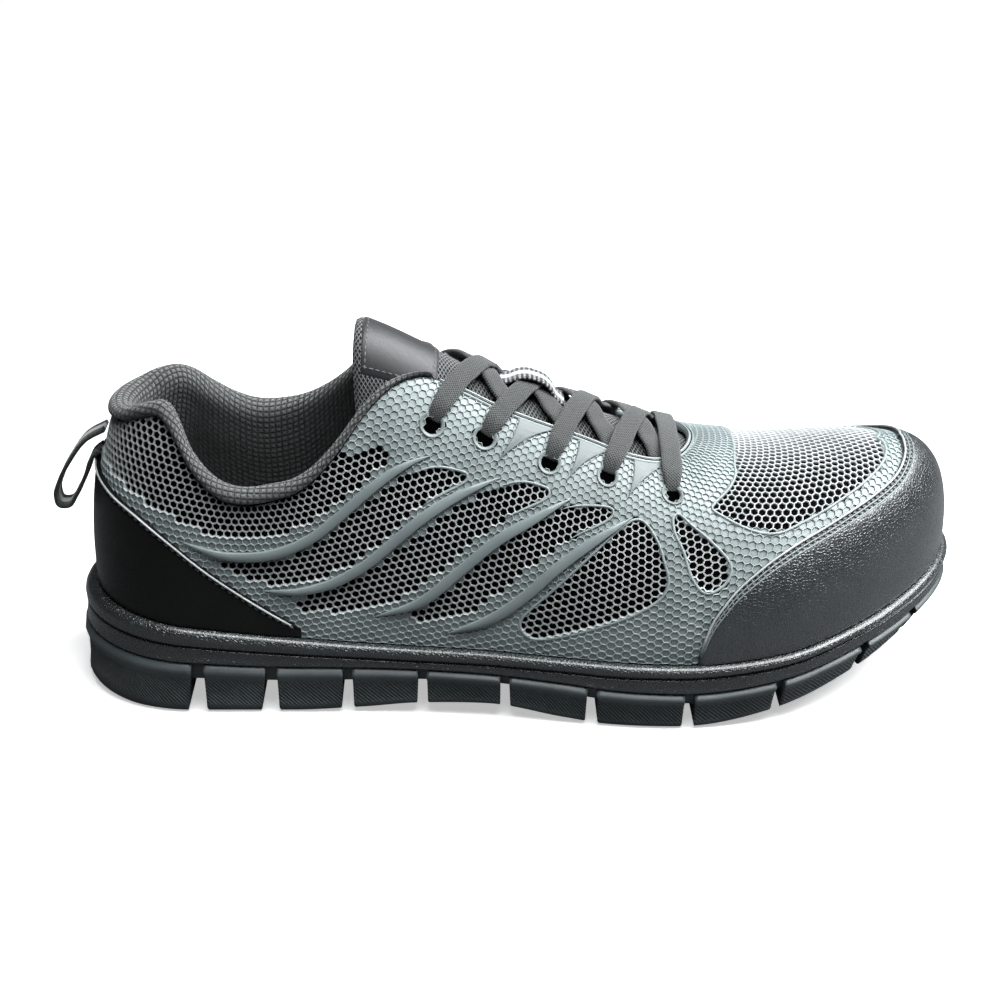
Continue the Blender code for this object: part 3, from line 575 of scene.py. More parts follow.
def weave(name, dark, light, pitch, depth, rough=0.8, stripe=None, half=0.0, bars=0.0, fleck=0.0):
    """Woven tape; stripe is a paler colour down the middle, and bars is the pitch of its edge stitches."""
    paint, tree, shader = new_finish(name, light, rough, Sheen_Weight=0.25)
    u, v = own_uv(tree)
    one = ripple(tree, maths(tree, "ADD", u, maths(tree, "MULTIPLY", v, 0.8)), pitch)
    two = ripple(tree, maths(tree, "SUBTRACT", u, maths(tree, "MULTIPLY", v, 0.8)), pitch)
    threads = maths(tree, "MULTIPLY_ADD", maths(tree, "MAXIMUM", one, two), 0.5)
    threads.node.inputs[2].default_value = 0.5
    if fleck:
        flecks = maths(tree, "MULTIPLY_ADD", noise(tree, 0.0009, 4.0, 0.8), fleck)
        tree.links.new(threads, flecks.node.inputs[2])
        threads = maths(tree, "SUBTRACT", flecks, fleck*0.5)
    ramp = tinted(tree, shader, threads, dark, light, 0.2, 0.9)
    if stripe:
        side = maths(tree, "ABSOLUTE", v)
        inside = maths(tree, "LESS_THAN", side, half)
        mixed = node(tree, "MixRGB", {"Fac": inside, "Color1": ramp.outputs[0], "Color2": (*stripe, 1)})
        tree.links.new(mixed.outputs[0], shader.inputs["Base Color"])
    if bars:
        dark_bar = maths(tree, "GREATER_THAN", ripple(tree, u, bars), -0.15)
        at_edge = maths(tree, "GREATER_THAN", maths(tree, "ABSOLUTE", v), half*1.25)
        ladder = maths(tree, "MULTIPLY", dark_bar, at_edge)
        barred = node(tree, "MixRGB", {"Fac": ladder, "Color1": mixed.outputs[0], "Color2": (*dark, 1)})
        tree.links.new(barred.outputs[0], shader.inputs["Base Color"])
        bump(tree, shader, ladder, 0.0003)
    bump(tree, shader, threads, depth)
    bump(tree, shader, noise(tree, 0.0003, 2.0), 0.00006)
    return paint


collar_knit = knit("collar_knit", (0.002, 0.002, 0.0022), (0.090, 0.094, 0.095))
lining_cloth = net("lining_cloth", (0.006, 0.006, 0.0065), (0.001, 0.001, 0.001), 0.0012, 0.0001, sheen=0.0)
tongue_net = net("tongue_net", (0.20, 0.205, 0.21), (0.003, 0.003, 0.0035), 0.0014, 0.0004)
label_satin = weave("label_satin", (0.008, 0.008, 0.009), (0.016, 0.016, 0.018), 0.0005, 0.00003, 0.42)
lace_cloth = weave("lace_cloth", (0.004, 0.0045, 0.005), (0.058, 0.061, 0.060), 0.0009, 0.00028, fleck=1.3)
strap_black = weave("strap_black", (0.003, 0.003, 0.003), (0.016, 0.017, 0.018), 0.0012, 0.0002,
                    stripe=(0.42, 0.43, 0.44), half=0.0016, bars=0.0017)
strap_pale = weave("strap_pale", (0.010, 0.010, 0.011), (0.30, 0.31, 0.32), 0.0012, 0.0002,
                   stripe=(0.55, 0.57, 0.58), half=0.0014, bars=0.0016)
insole_cloth = net("insole_cloth", (0.045, 0.046, 0.05), (0.012, 0.012, 0.013), 0.0011, 0.00012)
# Pale grey thread, lighter than the black thread of the toe cap's stitches: on the cap the grey is a painted
# highlight for their glints.
thread = weave("thread", (0.06, 0.062, 0.066), (0.20, 0.207, 0.212), 0.0006, 0.00005, 0.6)
# The strands' ridge range paints a highlight on their tops and deep shade down into each hole.
strand_grey = plastic("mesh_strand", (0.225, 0.232, 0.234), (0.305, 0.313, 0.315), (0.50, 0.70), 0.0002,
                      0.00004, ridge=(0.14, 1.35))[0]
print("cloths ready")

# %% [markdown]
# The sole is one black rubber moulding. Its rolled lip has a leather grain that sparkles. The sides of its
# blocks carry fine slanting ribs, which a `hatch` value on the mesh's points switches on where they belong.
# Their colour carries painted light: lighter on the crests as highlight, darker in the grooves as shade.


# %% Rubber
lip_rubber = leather("lip_rubber", (0.011, 0.013, 0.0138), (0.019, 0.023, 0.0245), (0.20, 0.42), 0.0010,
                     0.00016, Coat_Weight=0.7, Coat_Roughness=0.18, Specular_IOR_Level=0.7)[0]
block_rubber, _tree, _shader = plastic("block_rubber", (0.043, 0.050, 0.0525), (0.070, 0.082, 0.085),
                                       (0.36, 0.52))
_u, _v = own_uv(_tree)
_mask = node(_tree, "Attribute", attribute_name="hatch").outputs["Fac"]
_lines = ripple(_tree, maths(_tree, "ADD", _u, maths(_tree, "MULTIPLY", _v, 0.9)), 0.0014)
_ribs = maths(_tree, "MULTIPLY", _lines, _mask)
bump(_tree, _shader, _ribs, 0.00045)
# Painted light and shade on the ribs: the colour is scaled from 0.22 in their grooves to 1.9 on their
# crests.
_base = _shader.inputs["Base Color"].links[0].from_socket
_share = node(_tree, "MapRange", {0: _ribs, 1: -1.0, 2: 1.0, 3: 0.22, 4: 1.90}).outputs[0]
_painted_rib_shading = node(_tree, "VectorMath", {0: _base, "Scale": _share}, operation="SCALE")
_tree.links.new(_painted_rib_shading.outputs[0], _shader.inputs["Base Color"])
# Light grey for the thin tubes along the covers' edges and stitch rows: a painted highlight on the dark
# leather.
edge_grey = plastic("edge_grey", (0.30, 0.31, 0.32), (0.44, 0.455, 0.46), (0.22, 0.34))[0]
print("rubber ready")

# %% [markdown]
# ## The flat pattern
#
# A pattern cutter draws an upper flat and then lasts it, which means pulling it over the last. The same
# is done here. The outer face of the upper is meshed, unwrapped with as little stretch as Blender can,
# and scaled back to real size. Holes, ribs and seams are then drawn flat, where a honeycomb is just a
# honeycomb, and one Geometry Nodes tree wraps them onto the last.

# %% Grid of the upper's outer face
UNDER_COVER = 0.055


def top_edge(turn, side):
    edge = np.where(np.asarray(side) < 0, smooth(TOP_EDGE, turn, 1), smooth(TOP_EDGE, turn, 2))
    return np.where(turn >= CLOSED_TURN - 1e-6, 1.0, edge)


def film_low(turn):
    """Where the film starts: at the lip, or a little under the cap and the counter."""
    covered = np.maximum(smooth(CAP_SEAM, turn, 1), smooth(COUNTER_SEAM, turn, 1)) - UNDER_COVER
    return np.clip(covered, 0, 0.9)


half_turns = np.unique(np.concatenate([np.linspace(0, 1, 101), np.linspace(0.600, CLOSED_TURN, 7)]))
half_turns = half_turns[(np.abs(half_turns - CLOSED_TURN) > 0.002) | (half_turns == CLOSED_TURN)]
COLUMNS, FILM_ROWS = len(half_turns), 27
row_share = np.linspace(0, 1, FILM_ROWS)
loop_turn = np.concatenate([half_turns, half_turns[-2::-1]])
loop_side = np.concatenate([np.full(COLUMNS, LATERAL), np.full(COLUMNS - 1, MEDIAL)])
loop_low = film_low(loop_turn)
loop_top = top_edge(loop_turn, loop_side)
grid_t = loop_low + (loop_top - loop_low)*row_share[:, None]
grid_turn, grid_side = loop_turn + 0*grid_t, loop_side + 0*grid_t.astype(int)
film_points = upper_face(grid_turn, grid_side, grid_t)
film_out = upper_out(grid_turn, grid_side, grid_t)
grid_index = np.arange(grid_t.size).reshape(grid_t.shape)
for column in range(COLUMNS, len(loop_turn)):
    if loop_turn[column] >= CLOSED_TURN:
        grid_index[-1, column] = grid_index[-1, 2*COLUMNS - 2 - column]
print("pattern grid", grid_t.shape)

# %% Unwrap it
_quads = np.stack([grid_index[:-1, :-1], grid_index[:-1, 1:], grid_index[1:, 1:], grid_index[1:, :-1]], -1)
_quads = _quads.reshape(-1, 4)
pattern = make_mesh("pattern", film_points.reshape(-1, 3), _quads, film_grey)
bpy.context.view_layer.objects.active = pattern
pattern.select_set(True)
pattern.data.uv_layers.new(name="UVMap")
bpy.ops.object.mode_set(mode="EDIT")
bpy.ops.mesh.select_all(action="SELECT")
bpy.ops.uv.select_all(action="SELECT")
bpy.ops.uv.unwrap(method="MINIMUM_STRETCH", margin=0.0)
bpy.ops.object.mode_set(mode="OBJECT")
_corner = np.empty(len(pattern.data.loops), np.int32)
pattern.data.loops.foreach_get("vertex_index", _corner)
_uv = np.empty(len(_corner)*2, np.float32)
pattern.data.uv_layers[0].data.foreach_get("uv", _uv)
flat = np.zeros((grid_t.size, 2))
flat[_corner] = _uv.reshape(-1, 2)
flat = flat[grid_index]


def quad_area(p):
    one, two = p[1:, 1:] - p[:-1, :-1], p[1:, :-1] - p[:-1, 1:]
    if p.shape[-1] == 2:
        return np.abs(one[..., 0]*two[..., 1] - one[..., 1]*two[..., 0])/2
    return np.linalg.norm(np.cross(one, two), axis=-1)/2


flat *= math.sqrt(quad_area(film_points).sum()/quad_area(flat).sum())
stretch = quad_area(flat)/quad_area(film_points)
print("stretch of area", np.percentile(stretch, (2, 50, 98)).round(3))

# %% Turn the pattern so that the forefoot's wall points up
_span = np.searchsorted(loop_turn[:COLUMNS], 0.60)
_up = flat[16, _span] - flat[6, _span]
_size = np.hypot(*_up)
_turned = np.array([(_up[1], -_up[0]), (_up[0], _up[1])])/_size
flat = flat @ _turned.T
_along = flat[10, _span + 3] - flat[10, _span - 3]
if _along[0] < 0:
    flat = flat*np.array((-1, 1))
flat -= flat[10, _span]
print("pattern size", np.ptp(flat[..., 0]).round(3), np.ptp(flat[..., 1]).round(3), "m")


def on_pattern(turn, side, t):
    """Flat place of a point that is given by turn and t."""
    turn, side, t = np.broadcast_arrays(np.asarray(turn, float), side, np.asarray(t, float))
    c = np.interp(turn, half_turns, np.arange(COLUMNS))
    c = np.where(side < 0, c, 2*COLUMNS - 2 - c)
    low, top = film_low(turn), top_edge(turn, side)
    r = np.clip((t - low)/(top - low), 0, 1)*(FILM_ROWS - 1)
    c0 = np.clip(np.floor(c).astype(int), 0, len(loop_turn) - 2)
    r0 = np.clip(np.floor(r).astype(int), 0, FILM_ROWS - 2)
    a, b = (c - c0)[..., None], (r - r0)[..., None]
    return ((flat[r0, c0]*(1 - a) + flat[r0, c0 + 1]*a)*(1 - b)
            + (flat[r0 + 1, c0]*(1 - a) + flat[r0 + 1, c0 + 1]*a)*b)


# %% [markdown]
# The wrap needs two attributes on the flat mesh: where each of its points lies on the last, and which
# way is out. Sample Nearest Surface reads both under any point of a drawing, and the drawing's own
# height is added along the outward direction. A point past the pattern's edge is held at the edge.

# %% The wrapping tree
_flat_points = np.concatenate([flat.reshape(-1, 2), np.zeros((grid_t.size, 1))], 1)
bpy.data.objects.remove(pattern)
flat_pattern = make_mesh("flat_pattern", _flat_points - SHIFT, _quads, film_grey)
for _name, _values in (("place", film_points + SHIFT), ("out", film_out)):
    _layer = flat_pattern.data.attributes.new(_name, "FLOAT_VECTOR", "POINT")
    _layer.data.foreach_set("vector", _values.astype(np.float32).ravel())


def tree_inputs(tree, *sockets):
    for label, kind in sockets:
        tree.interface.new_socket(label, in_out="INPUT", socket_type="NodeSocket" + kind)
    tree.interface.new_socket("Geometry", in_out="OUTPUT", socket_type="NodeSocketGeometry")
    return tree.nodes.new("NodeGroupInput"), tree.nodes.new("NodeGroupOutput")


def geo(tree, kind, wires=(), **settings):
    made = tree.nodes.new(kind)
    for label, value in settings.items():
        setattr(made, label, value)
    for label, value in dict(wires).items():
        if isinstance(value, bpy.types.NodeSocket):
            tree.links.new(value, made.inputs[label])
        else:
            made.inputs[label].default_value = value
    return made


wrap_tree = bpy.data.node_groups.new("wrap on the last", "GeometryNodeTree")
_in, _out = tree_inputs(wrap_tree, ("Geometry", "Geometry"), ("Flat pattern", "Object"),
                        ("Weld", "Float"), ("Finish", "Material"))
_place = geo(wrap_tree, "GeometryNodeInputPosition").outputs[0]
_apart = geo(wrap_tree, "ShaderNodeSeparateXYZ", {0: _place})
_down = geo(wrap_tree, "ShaderNodeCombineXYZ", {0: _apart.outputs[0], 1: _apart.outputs[1]}).outputs[0]
_source = geo(wrap_tree, "GeometryNodeObjectInfo", {"Object": _in.outputs["Flat pattern"]})
_found = []
for _name in ("place", "out"):
    _value = geo(wrap_tree, "GeometryNodeInputNamedAttribute", {"Name": _name}, data_type="FLOAT_VECTOR")
    _sample = geo(wrap_tree, "GeometryNodeSampleNearestSurface", data_type="FLOAT_VECTOR")
    wrap_tree.links.new(_source.outputs["Geometry"], _sample.inputs["Mesh"])
    wrap_tree.links.new(_value.outputs[0], _sample.inputs["Value"])
    wrap_tree.links.new(_down, _sample.inputs["Sample Position"])
    _found.append(_sample.outputs["Value"])
_way = geo(wrap_tree, "ShaderNodeVectorMath", {0: _found[1]}, operation="NORMALIZE").outputs[0]
_lift = geo(wrap_tree, "ShaderNodeVectorMath", {0: _way, "Scale": _apart.outputs[2]}, operation="SCALE")
_there = geo(wrap_tree, "ShaderNodeVectorMath", {0: _found[0], 1: _lift.outputs[0]}, operation="ADD")
_moved = geo(wrap_tree, "GeometryNodeSetPosition", {"Geometry": _in.outputs["Geometry"],
                                                    "Position": _there.outputs[0]})
_weld = geo(wrap_tree, "GeometryNodeMergeByDistance", {"Geometry": _moved.outputs[0],
                                                       "Distance": _in.outputs["Weld"]})
_real = geo(wrap_tree, "GeometryNodeRealizeInstances", {"Geometry": _weld.outputs[0]})
_done = geo(wrap_tree, "GeometryNodeSetMaterial", {"Geometry": _real.outputs[0],
                                                   "Material": _in.outputs["Finish"]})
wrap_tree.links.new(_done.outputs[0], _out.inputs[0])


def run_tree(made, tree, **values):
    """Give an object a Geometry Nodes tree, set its inputs by identifier and keep the plain result."""
    step = made.modifiers.new(tree.name, "NODES")
    step.node_group = tree
    named = {item.name: item.identifier for item in tree.interface.items_tree
             if item.item_type == "SOCKET" and item.in_out == "INPUT"}
    for label, value in values.items():
        step[named[label.replace("_", " ")]] = value
    view = bpy.context.evaluated_depsgraph_get()
    mesh = bpy.data.meshes.new_from_object(made.evaluated_get(view), depsgraph=view)
    name = made.name
    flat_drawing = made.data
    bpy.data.objects.remove(made)
    bpy.data.meshes.remove(flat_drawing)
    mesh.name = name
    plain = bpy.data.objects.new(name, mesh)
    bpy.context.scene.collection.objects.link(plain)
    return plain


def last_it(name, drawing, faces, material, flat_shaded=False, weld=1e-6, uv=None, ridge=None):
    """Pull a flat drawing (u, v, height) over the last."""
    made = make_mesh(name, np.asarray(drawing) - SHIFT, faces, material, flat_shaded, uv)
    if ridge is not None:
        layer = made.data.attributes.new("ridge", "FLOAT", "POINT")
        layer.data.foreach_set("value", np.asarray(ridge, np.float32))
    return run_tree(made, wrap_tree, Flat_pattern=flat_pattern, Weld=weld, Finish=material)


print("wrapping tree ready")

# %% [markdown]
# ## Windows and ribs, drawn flat
#
# Each side has leaf-shaped windows where the film is open and only the net of the mesh is left, and four
# thin ribs that sweep from the laces down to the heel. Both are short lists of (turn, t) on the last,
# read off the photograph for the outer side and repeated on the inner side, which it doesn't show.

# %% Their tables
RIBS = (
    ((0.4380, 0.520), (0.4225, 0.478), (0.4078, 0.430), (0.3889, 0.362), (0.3678, 0.290), (0.3444, 0.230),
     (0.3133, 0.190), (0.2811, 0.184), (0.2322, 0.215)),
    ((0.4840, 0.518), (0.4700, 0.472), (0.4556, 0.425), (0.4278, 0.328), (0.4078, 0.253), (0.3867, 0.185),
     (0.3644, 0.138), (0.3422, 0.113), (0.3050, 0.104)),
    ((0.5325, 0.517), (0.5190, 0.465), (0.5056, 0.413), (0.4811, 0.323), (0.4544, 0.212), (0.4267, 0.115),
     (0.3922, 0.062)),
    ((0.5740, 0.500), (0.5610, 0.446), (0.5478, 0.393), (0.5222, 0.283), (0.4989, 0.175), (0.4800, 0.105),
     (0.4433, 0.034)),
)
WINDOWS = {
    "rear": ((0.0, 0.372), (0.0, 0.470), (0.060, 0.475), (0.120, 0.490), (0.165, 0.520), (0.198, 0.525),
             (0.220, 0.470), (0.245, 0.378), (0.270, 0.315), (0.292, 0.298), (0.315, 0.308),
             (0.340, 0.335), (0.3556, 0.385), (0.3667, 0.463), (0.4056, 0.490), (0.4040, 0.468),
             (0.3789, 0.365), (0.3478, 0.285), (0.3130, 0.235), (0.2722, 0.232), (0.2333, 0.270),
             (0.190, 0.308), (0.130, 0.346), (0.060, 0.366)),
    "first": ((0.4556, 0.485), (0.4567, 0.470), (0.4344, 0.395), (0.4133, 0.315), (0.3933, 0.240),
              (0.3689, 0.175), (0.3378, 0.138), (0.3056, 0.130), (0.2767, 0.160), (0.3078, 0.170),
              (0.3389, 0.190), (0.3622, 0.240), (0.3867, 0.318), (0.4111, 0.398), (0.4356, 0.470)),
    "second": ((0.5111, 0.517), (0.5122, 0.495), (0.4856, 0.403), (0.4622, 0.305), (0.4333, 0.188),
               (0.4078, 0.113), (0.3756, 0.080), (0.3333, 0.070), (0.3611, 0.115), (0.3922, 0.170),
               (0.4167, 0.240), (0.4411, 0.328), (0.4689, 0.427), (0.4933, 0.505)),
    "third": ((0.5556, 0.503), (0.5544, 0.475), (0.5300, 0.390), (0.5022, 0.280), (0.4811, 0.180),
              (0.4533, 0.095), (0.4222, 0.068), (0.4467, 0.145), (0.4756, 0.260), (0.5022, 0.375),
              (0.5300, 0.470)),
    "leaf": ((0.5789, 0.484), (0.5880, 0.430), (0.5930, 0.355), (0.5956, 0.278), (0.5844, 0.208),
             (0.5500, 0.122), (0.5133, 0.060), (0.5010, 0.062), (0.4989, 0.103), (0.5222, 0.212),
             (0.5500, 0.355), (0.5678, 0.450)),
    "small": ((0.6060, 0.535), (0.6150, 0.500), (0.6256, 0.455), (0.6400, 0.385), (0.6430, 0.340),
              (0.6378, 0.295), (0.6267, 0.268), (0.6178, 0.323), (0.6122, 0.410), (0.6056, 0.482)),
}
VAMP_WINDOW = ((0.6333, 0.603), (0.6480, 0.690), (0.6560, 0.770), (0.6580, 0.870), (0.6560, 1.000),
               (0.9990, 1.000), (0.9990, 0.930), (0.9300, 0.865), (0.8744, 0.780), (0.8333, 0.715),
               (0.7900, 0.650), (0.7533, 0.590), (0.7089, 0.520), (0.6867, 0.488), (0.6644, 0.505),
               (0.6400, 0.565))


def closed_curve(points, count=6):
    """A smooth closed line through flat points."""
    points = np.asarray(points, float)
    before, after = np.roll(points, 1, 0), np.roll(points, -1, 0)
    after2 = np.roll(points, -2, 0)
    steps = np.arange(count)[:, None, None]/count
    curve = (points + steps*(after - before)/2
             + steps**2*(before - 2.5*points + 2*after - after2/2)
             + steps**3*(-before/2 + 1.5*points - 1.5*after + after2/2))
    return curve.transpose(1, 0, 2).reshape(-1, 2)


def inside(points, loop):
    """Which flat points lie inside a closed line."""
    x, y = points[:, 0], points[:, 1]
    hit = np.zeros(len(points), bool)
    for (x0, y0), (x1, y1) in zip(loop, np.roll(loop, -1, 0)):
        cross = (y0 > y) != (y1 > y)
        hit ^= cross & (x < (x1 - x0)*(y - y0)/(y1 - y0 + 1e-15) + x0)
    return hit


def widened(line, amount):
    """A closed line moved outwards."""
    along = np.roll(line, -1, 0) - np.roll(line, 1, 0)
    along = along/(np.linalg.norm(along, axis=1, keepdims=True) + 1e-12)
    out = np.stack([along[:, 1], -along[:, 0]], 1)
    x, y = line[:, 0], line[:, 1]
    turned = np.sign(np.sum(x*np.roll(y, -1) - np.roll(x, -1)*y))
    return line + out*amount*turned


window_lines = []
for side in (LATERAL, MEDIAL):
    for word, rows in WINDOWS.items():
        rows = np.array(rows)
        line = on_pattern(rows[:, 0], side, rows[:, 1])
        window_lines.append((word, side, widened(line if word == "rear" else closed_curve(line), 0.0011)))
_rows = np.array(VAMP_WINDOW)
_near = on_pattern(_rows[:, 0], LATERAL, _rows[:, 1])
_far = on_pattern(_rows[:, 0], MEDIAL, _rows[:, 1])
_open = [k for k in range(len(_rows)) if _rows[k, 1] < 1.0]
_start = [k for k in _open if k < 5]
_end = [k for k in _open if k >= 5]
vamp_line = np.concatenate([_near[_end], _near[_start], _far[_start][::-1], _far[_end][::-1]])
window_lines.append(("vamp", 0, vamp_line))
print(len(window_lines), "windows")

# %% [markdown]
# ## The honeycomb
#
# Film and mesh share one honeycomb of cells 2.6 mm apart. In the film a cell is a shallow dimple with
# a thin ridge round it, and in a window it is an open hole between rounded strands, set a little lower.
# Neighbours share their six corners, so each corner's height is the mean of the cells round it and the
# film slopes down into a window instead of ending in a crack.

# %% Cells
CELL_PITCH = 0.00258
_reach = flat.reshape(-1, 2)
_low, _high = _reach.min(0) - CELL_PITCH, _reach.max(0) + CELL_PITCH
_step = CELL_PITCH*math.sqrt(3)/2
_i, _j = np.meshgrid(np.arange(int(_low[0]/_step) - 1, int(_high[0]/_step) + 2),
                     np.arange(int(_low[1]/CELL_PITCH) - 1, int(_high[1]/CELL_PITCH) + 2), indexing="ij")
cells = np.stack([_i*_step, (_j + 0.5*(_i % 2))*CELL_PITCH], -1).reshape(-1, 2)
_tree = BVHTree.FromPolygons(_flat_points.tolist(), _quads.tolist())
_away = np.array([_tree.find_nearest((x, y, 0.0))[3] for x, y in cells])
cells = cells[_away < CELL_PITCH*0.42]

EYELETS_FLAT = [on_pattern(turn, side, t) for side in (LATERAL, MEDIAL) for turn, t in EYELETS]
EYELET_FLANGE = 0.0043
_from_eyelet = np.min([np.hypot(*(cells - e).T) for e in EYELETS_FLAT], 0)
cells = cells[_from_eyelet > EYELET_FLANGE*0.80]
is_window = np.zeros(len(cells), bool)
for _word, _side, _line in window_lines:
    is_window |= inside(cells, _line)
print(len(cells), "cells,", int(is_window.sum()), "of them open")


# %% Shared corners
_angle = np.arange(6)*math.pi/3
SIX = np.stack([np.cos(_angle), np.sin(_angle)], 1)
CORNER = CELL_PITCH/math.sqrt(3)
FILM_HEIGHT, NET_HEIGHT = 0.00014, -0.00050
_corners = (cells[:, None] + SIX*CORNER).reshape(-1, 2)
_key = np.round(_corners/(CELL_PITCH*0.05)).astype(np.int64)
_, _first, corner_of = np.unique(_key, axis=0, return_index=True, return_inverse=True)
corner_of = corner_of.reshape(-1, 6)
corner_place = _corners[_first]
_total = np.zeros(len(corner_place))
_count = np.zeros(len(corner_place))
np.add.at(_total, corner_of, np.where(is_window, NET_HEIGHT, FILM_HEIGHT)[:, None] + 0*corner_of)
np.add.at(_count, corner_of, 1)
corner_height = _total/_count
print(len(corner_place), "corners")


# %% Cells into drawings
def honeycomb(chosen, rings, floor):
    """Rings are (share of the corner radius, height, painted light share: 1 paints a highlight, 0 paints
    shade); floor closes each cell.
    """
    place, own = cells[chosen], corner_of[chosen]
    used, local = np.unique(own, return_inverse=True)
    local = local.reshape(-1, 6)
    points = [np.concatenate([corner_place[used], corner_height[used, None]], 1)]
    base, n, faces, last = len(used), len(place), [], local
    ridge = [np.ones(base)]
    for share, height, painted_light_share in rings:
        ridge.append(np.full(n*6, painted_light_share))
        ring = (place[:, None] + SIX*CORNER*share).reshape(-1, 2)
        points.append(np.concatenate([ring, np.full((len(ring), 1), height)], 1))
        here = (np.arange(n*6) + base).reshape(n, 6)
        faces.append(np.stack([last, np.roll(last, -1, 1), np.roll(here, -1, 1), here], -1).reshape(-1, 4))
        base, last = base + n*6, here
    faces = np.concatenate(faces).tolist()
    if floor:
        faces += last.tolist()
    return np.concatenate(points), faces, np.concatenate(ridge)


# The third number of each ring paints light and shade into the film: a highlight on the ridge, shade at the
# foot of the wall and a middle tone on the floor.
_points, _faces, _painted_light = honeycomb(~is_window, ((0.915, FILM_HEIGHT + 0.00004, 1.0),
                                                 (0.83, FILM_HEIGHT - 0.00048, 0.0),
                                                 (0.77, FILM_HEIGHT - 0.00048, 0.5)), True)
upper_film = last_it("upper_film", _points, _faces, film_grey, flat_shaded=True, ridge=_painted_light)
# In the net the strands' tops get a painted highlight and the walls down into each hole painted shade.
_points, _faces, _painted_light = honeycomb(is_window, ((0.93, NET_HEIGHT + 0.00014, 1.0), (0.83, NET_HEIGHT, 0.8),
                                                (0.78, NET_HEIGHT - 0.00080, 0.0)), False)
upper_net = last_it("upper_net", _points, _faces, strand_grey, ridge=_painted_light)
print(len(upper_film.data.polygons), "film faces,", len(upper_net.data.polygons), "net faces")

# %% [markdown]
# ## Skin under the film
#
# Behind the honeycomb lies the black lining that shows through the holes. It is one closed shell over
# the same face, a little over a millimetre down, and it carries on into the sole's cup.

# %% Lining shell
SKIN_DEPTH = 0.00125
_turn = np.concatenate([half_turns, half_turns[-2:0:-1]])
_side = np.concatenate([np.full(COLUMNS, LATERAL), np.full(COLUMNS - 2, MEDIAL)])
_top = top_edge(_turn, _side)
_shares = np.linspace(0, 1, 30)
_bx, _by = outline_inset(_turn, _side, FEATHER_INSET + SKIN_DEPTH + tuck(_turn, _side))
_ix, _iy = outline_inset(_turn, _side, FEATHER_INSET + WALL + tuck(_turn, _side))
_lip = side_level(_turn, _side, LIP_TOP)
_outer = [np.stack([_bx, _by, _lip - CUP_DEPTH + GAP], 1)]
_inner = [np.stack([_ix, _iy, _lip - CUP_DEPTH + GAP], 1)]
for _share in _shares:
    _t = _top*_share
    if _share == 0:
        _outer.append(np.stack([_bx, _by, _lip], 1))
        _inner.append(np.stack([_ix, _iy, _lip], 1))
        continue
    _outer.append(shifted(_turn, _side, _t, np.full(len(_t), SKIN_DEPTH)))
    _inner.append(shifted(_turn, _side, _t, np.full(len(_t), WALL)))
_outer, _inner = np.stack(_outer), np.stack(_inner)
_rows, _count = _outer.shape[:2]
_index = np.arange(_rows*_count).reshape(_rows, _count)
_closed = _turn >= CLOSED_TURN - 1e-6
for _k in range(_count):
    if _closed[_k] and _side[_k] > 0:
        _index[-1, _k] = _index[-1, _count - _k]
_index = np.concatenate([_index, _index[:, :1]], 1)
_quad = np.stack([_index[:-1, :-1], _index[:-1, 1:], _index[1:, 1:], _index[1:, :-1]], -1).reshape(-1, 4)
_under = _rows*_count
_faces = _quad.tolist() + (_quad[:, ::-1] + _under).tolist()
_next = np.roll(_closed, -1)
for _k in range(_count):
    _a, _b = int(_index[0, _k]), int(_index[0, _k + 1])
    _faces.append((_b, _a, _a + _under, _b + _under))
    if not (_closed[_k] and _next[_k]):
        _a, _b = int(_index[-1, _k]), int(_index[-1, _k + 1])
        _faces.append((_a, _b, _b + _under, _a + _under))
_uv = np.stack([lengths_along(_outer, 1), lengths_along(_outer, 0)], -1).reshape(-1, 2)
upper_lining = make_mesh("upper_lining", np.concatenate([_outer.reshape(-1, 3), _inner.reshape(-1, 3)]),
                         _faces, lining_cloth, uv=np.concatenate([_uv, _uv]))
_shape = bmesh.new()
_shape.from_mesh(upper_lining.data)
bmesh.ops.delete(_shape, geom=[v for v in _shape.verts if not v.link_faces], context="VERTS")
_shape.to_mesh(upper_lining.data)
_shape.free()
tidy_mesh(upper_lining)
print("lining", len(upper_lining.data.polygons), "faces")

# %% [markdown]
# ## Ribs, smooth panels and eyelets
#
# These are drawn flat too. A rib is a ribbon that narrows to a point at both ends, with a flat top and
# steep sides. A panel is a set of rings that shrink towards its middle, which gives it a groove round a
# smooth field. An eyelet is the same with a hole: a raised ring whose inner wall goes down to a black
# disc, which is painted shade standing for the dark inside the hole.


# %% Ribbons
def open_curve(points, count):
    """Evenly spaced points on a smooth line through flat points."""
    points = np.asarray(points, float)
    run = lengths_along(points)
    table = np.column_stack([run, points])
    fine = np.linspace(0, run[-1], count)
    return np.stack([smooth(table, fine, k + 1) for k in range(points.shape[1])], 1)


def ribbon(name, line, width, profile, material, taper=0.18, ridge=None):
    """A flat line given a width and a raised cross-section of (share of half width, height)."""
    count = len(line)
    along = np.gradient(line, axis=0)
    along /= np.linalg.norm(along, axis=1, keepdims=True)
    across = np.stack([-along[:, 1], along[:, 0]], 1)
    share = np.linspace(0, 1, count)
    size = np.ones(count)
    if taper:
        size = np.clip(np.minimum(share, 1 - share)/taper, 0, 1)
        size = size*(2 - size)
    profile = np.array(profile)
    place = line + across*(profile[:, 0][:, None]*width/2*size)[..., None]
    high = profile[:, 1][:, None]*np.where(profile[:, 1][:, None] > 0, np.minimum(1, size*1.6), 1)
    drawing = np.concatenate([place, (high + 0*size)[..., None]], -1)
    faces = grid_faces(len(profile), count)
    drawing = drawing.reshape(-1, 3)
    return last_it(name, drawing, faces, material, ridge=None if ridge is None else ridge + 0*drawing[:, 0])


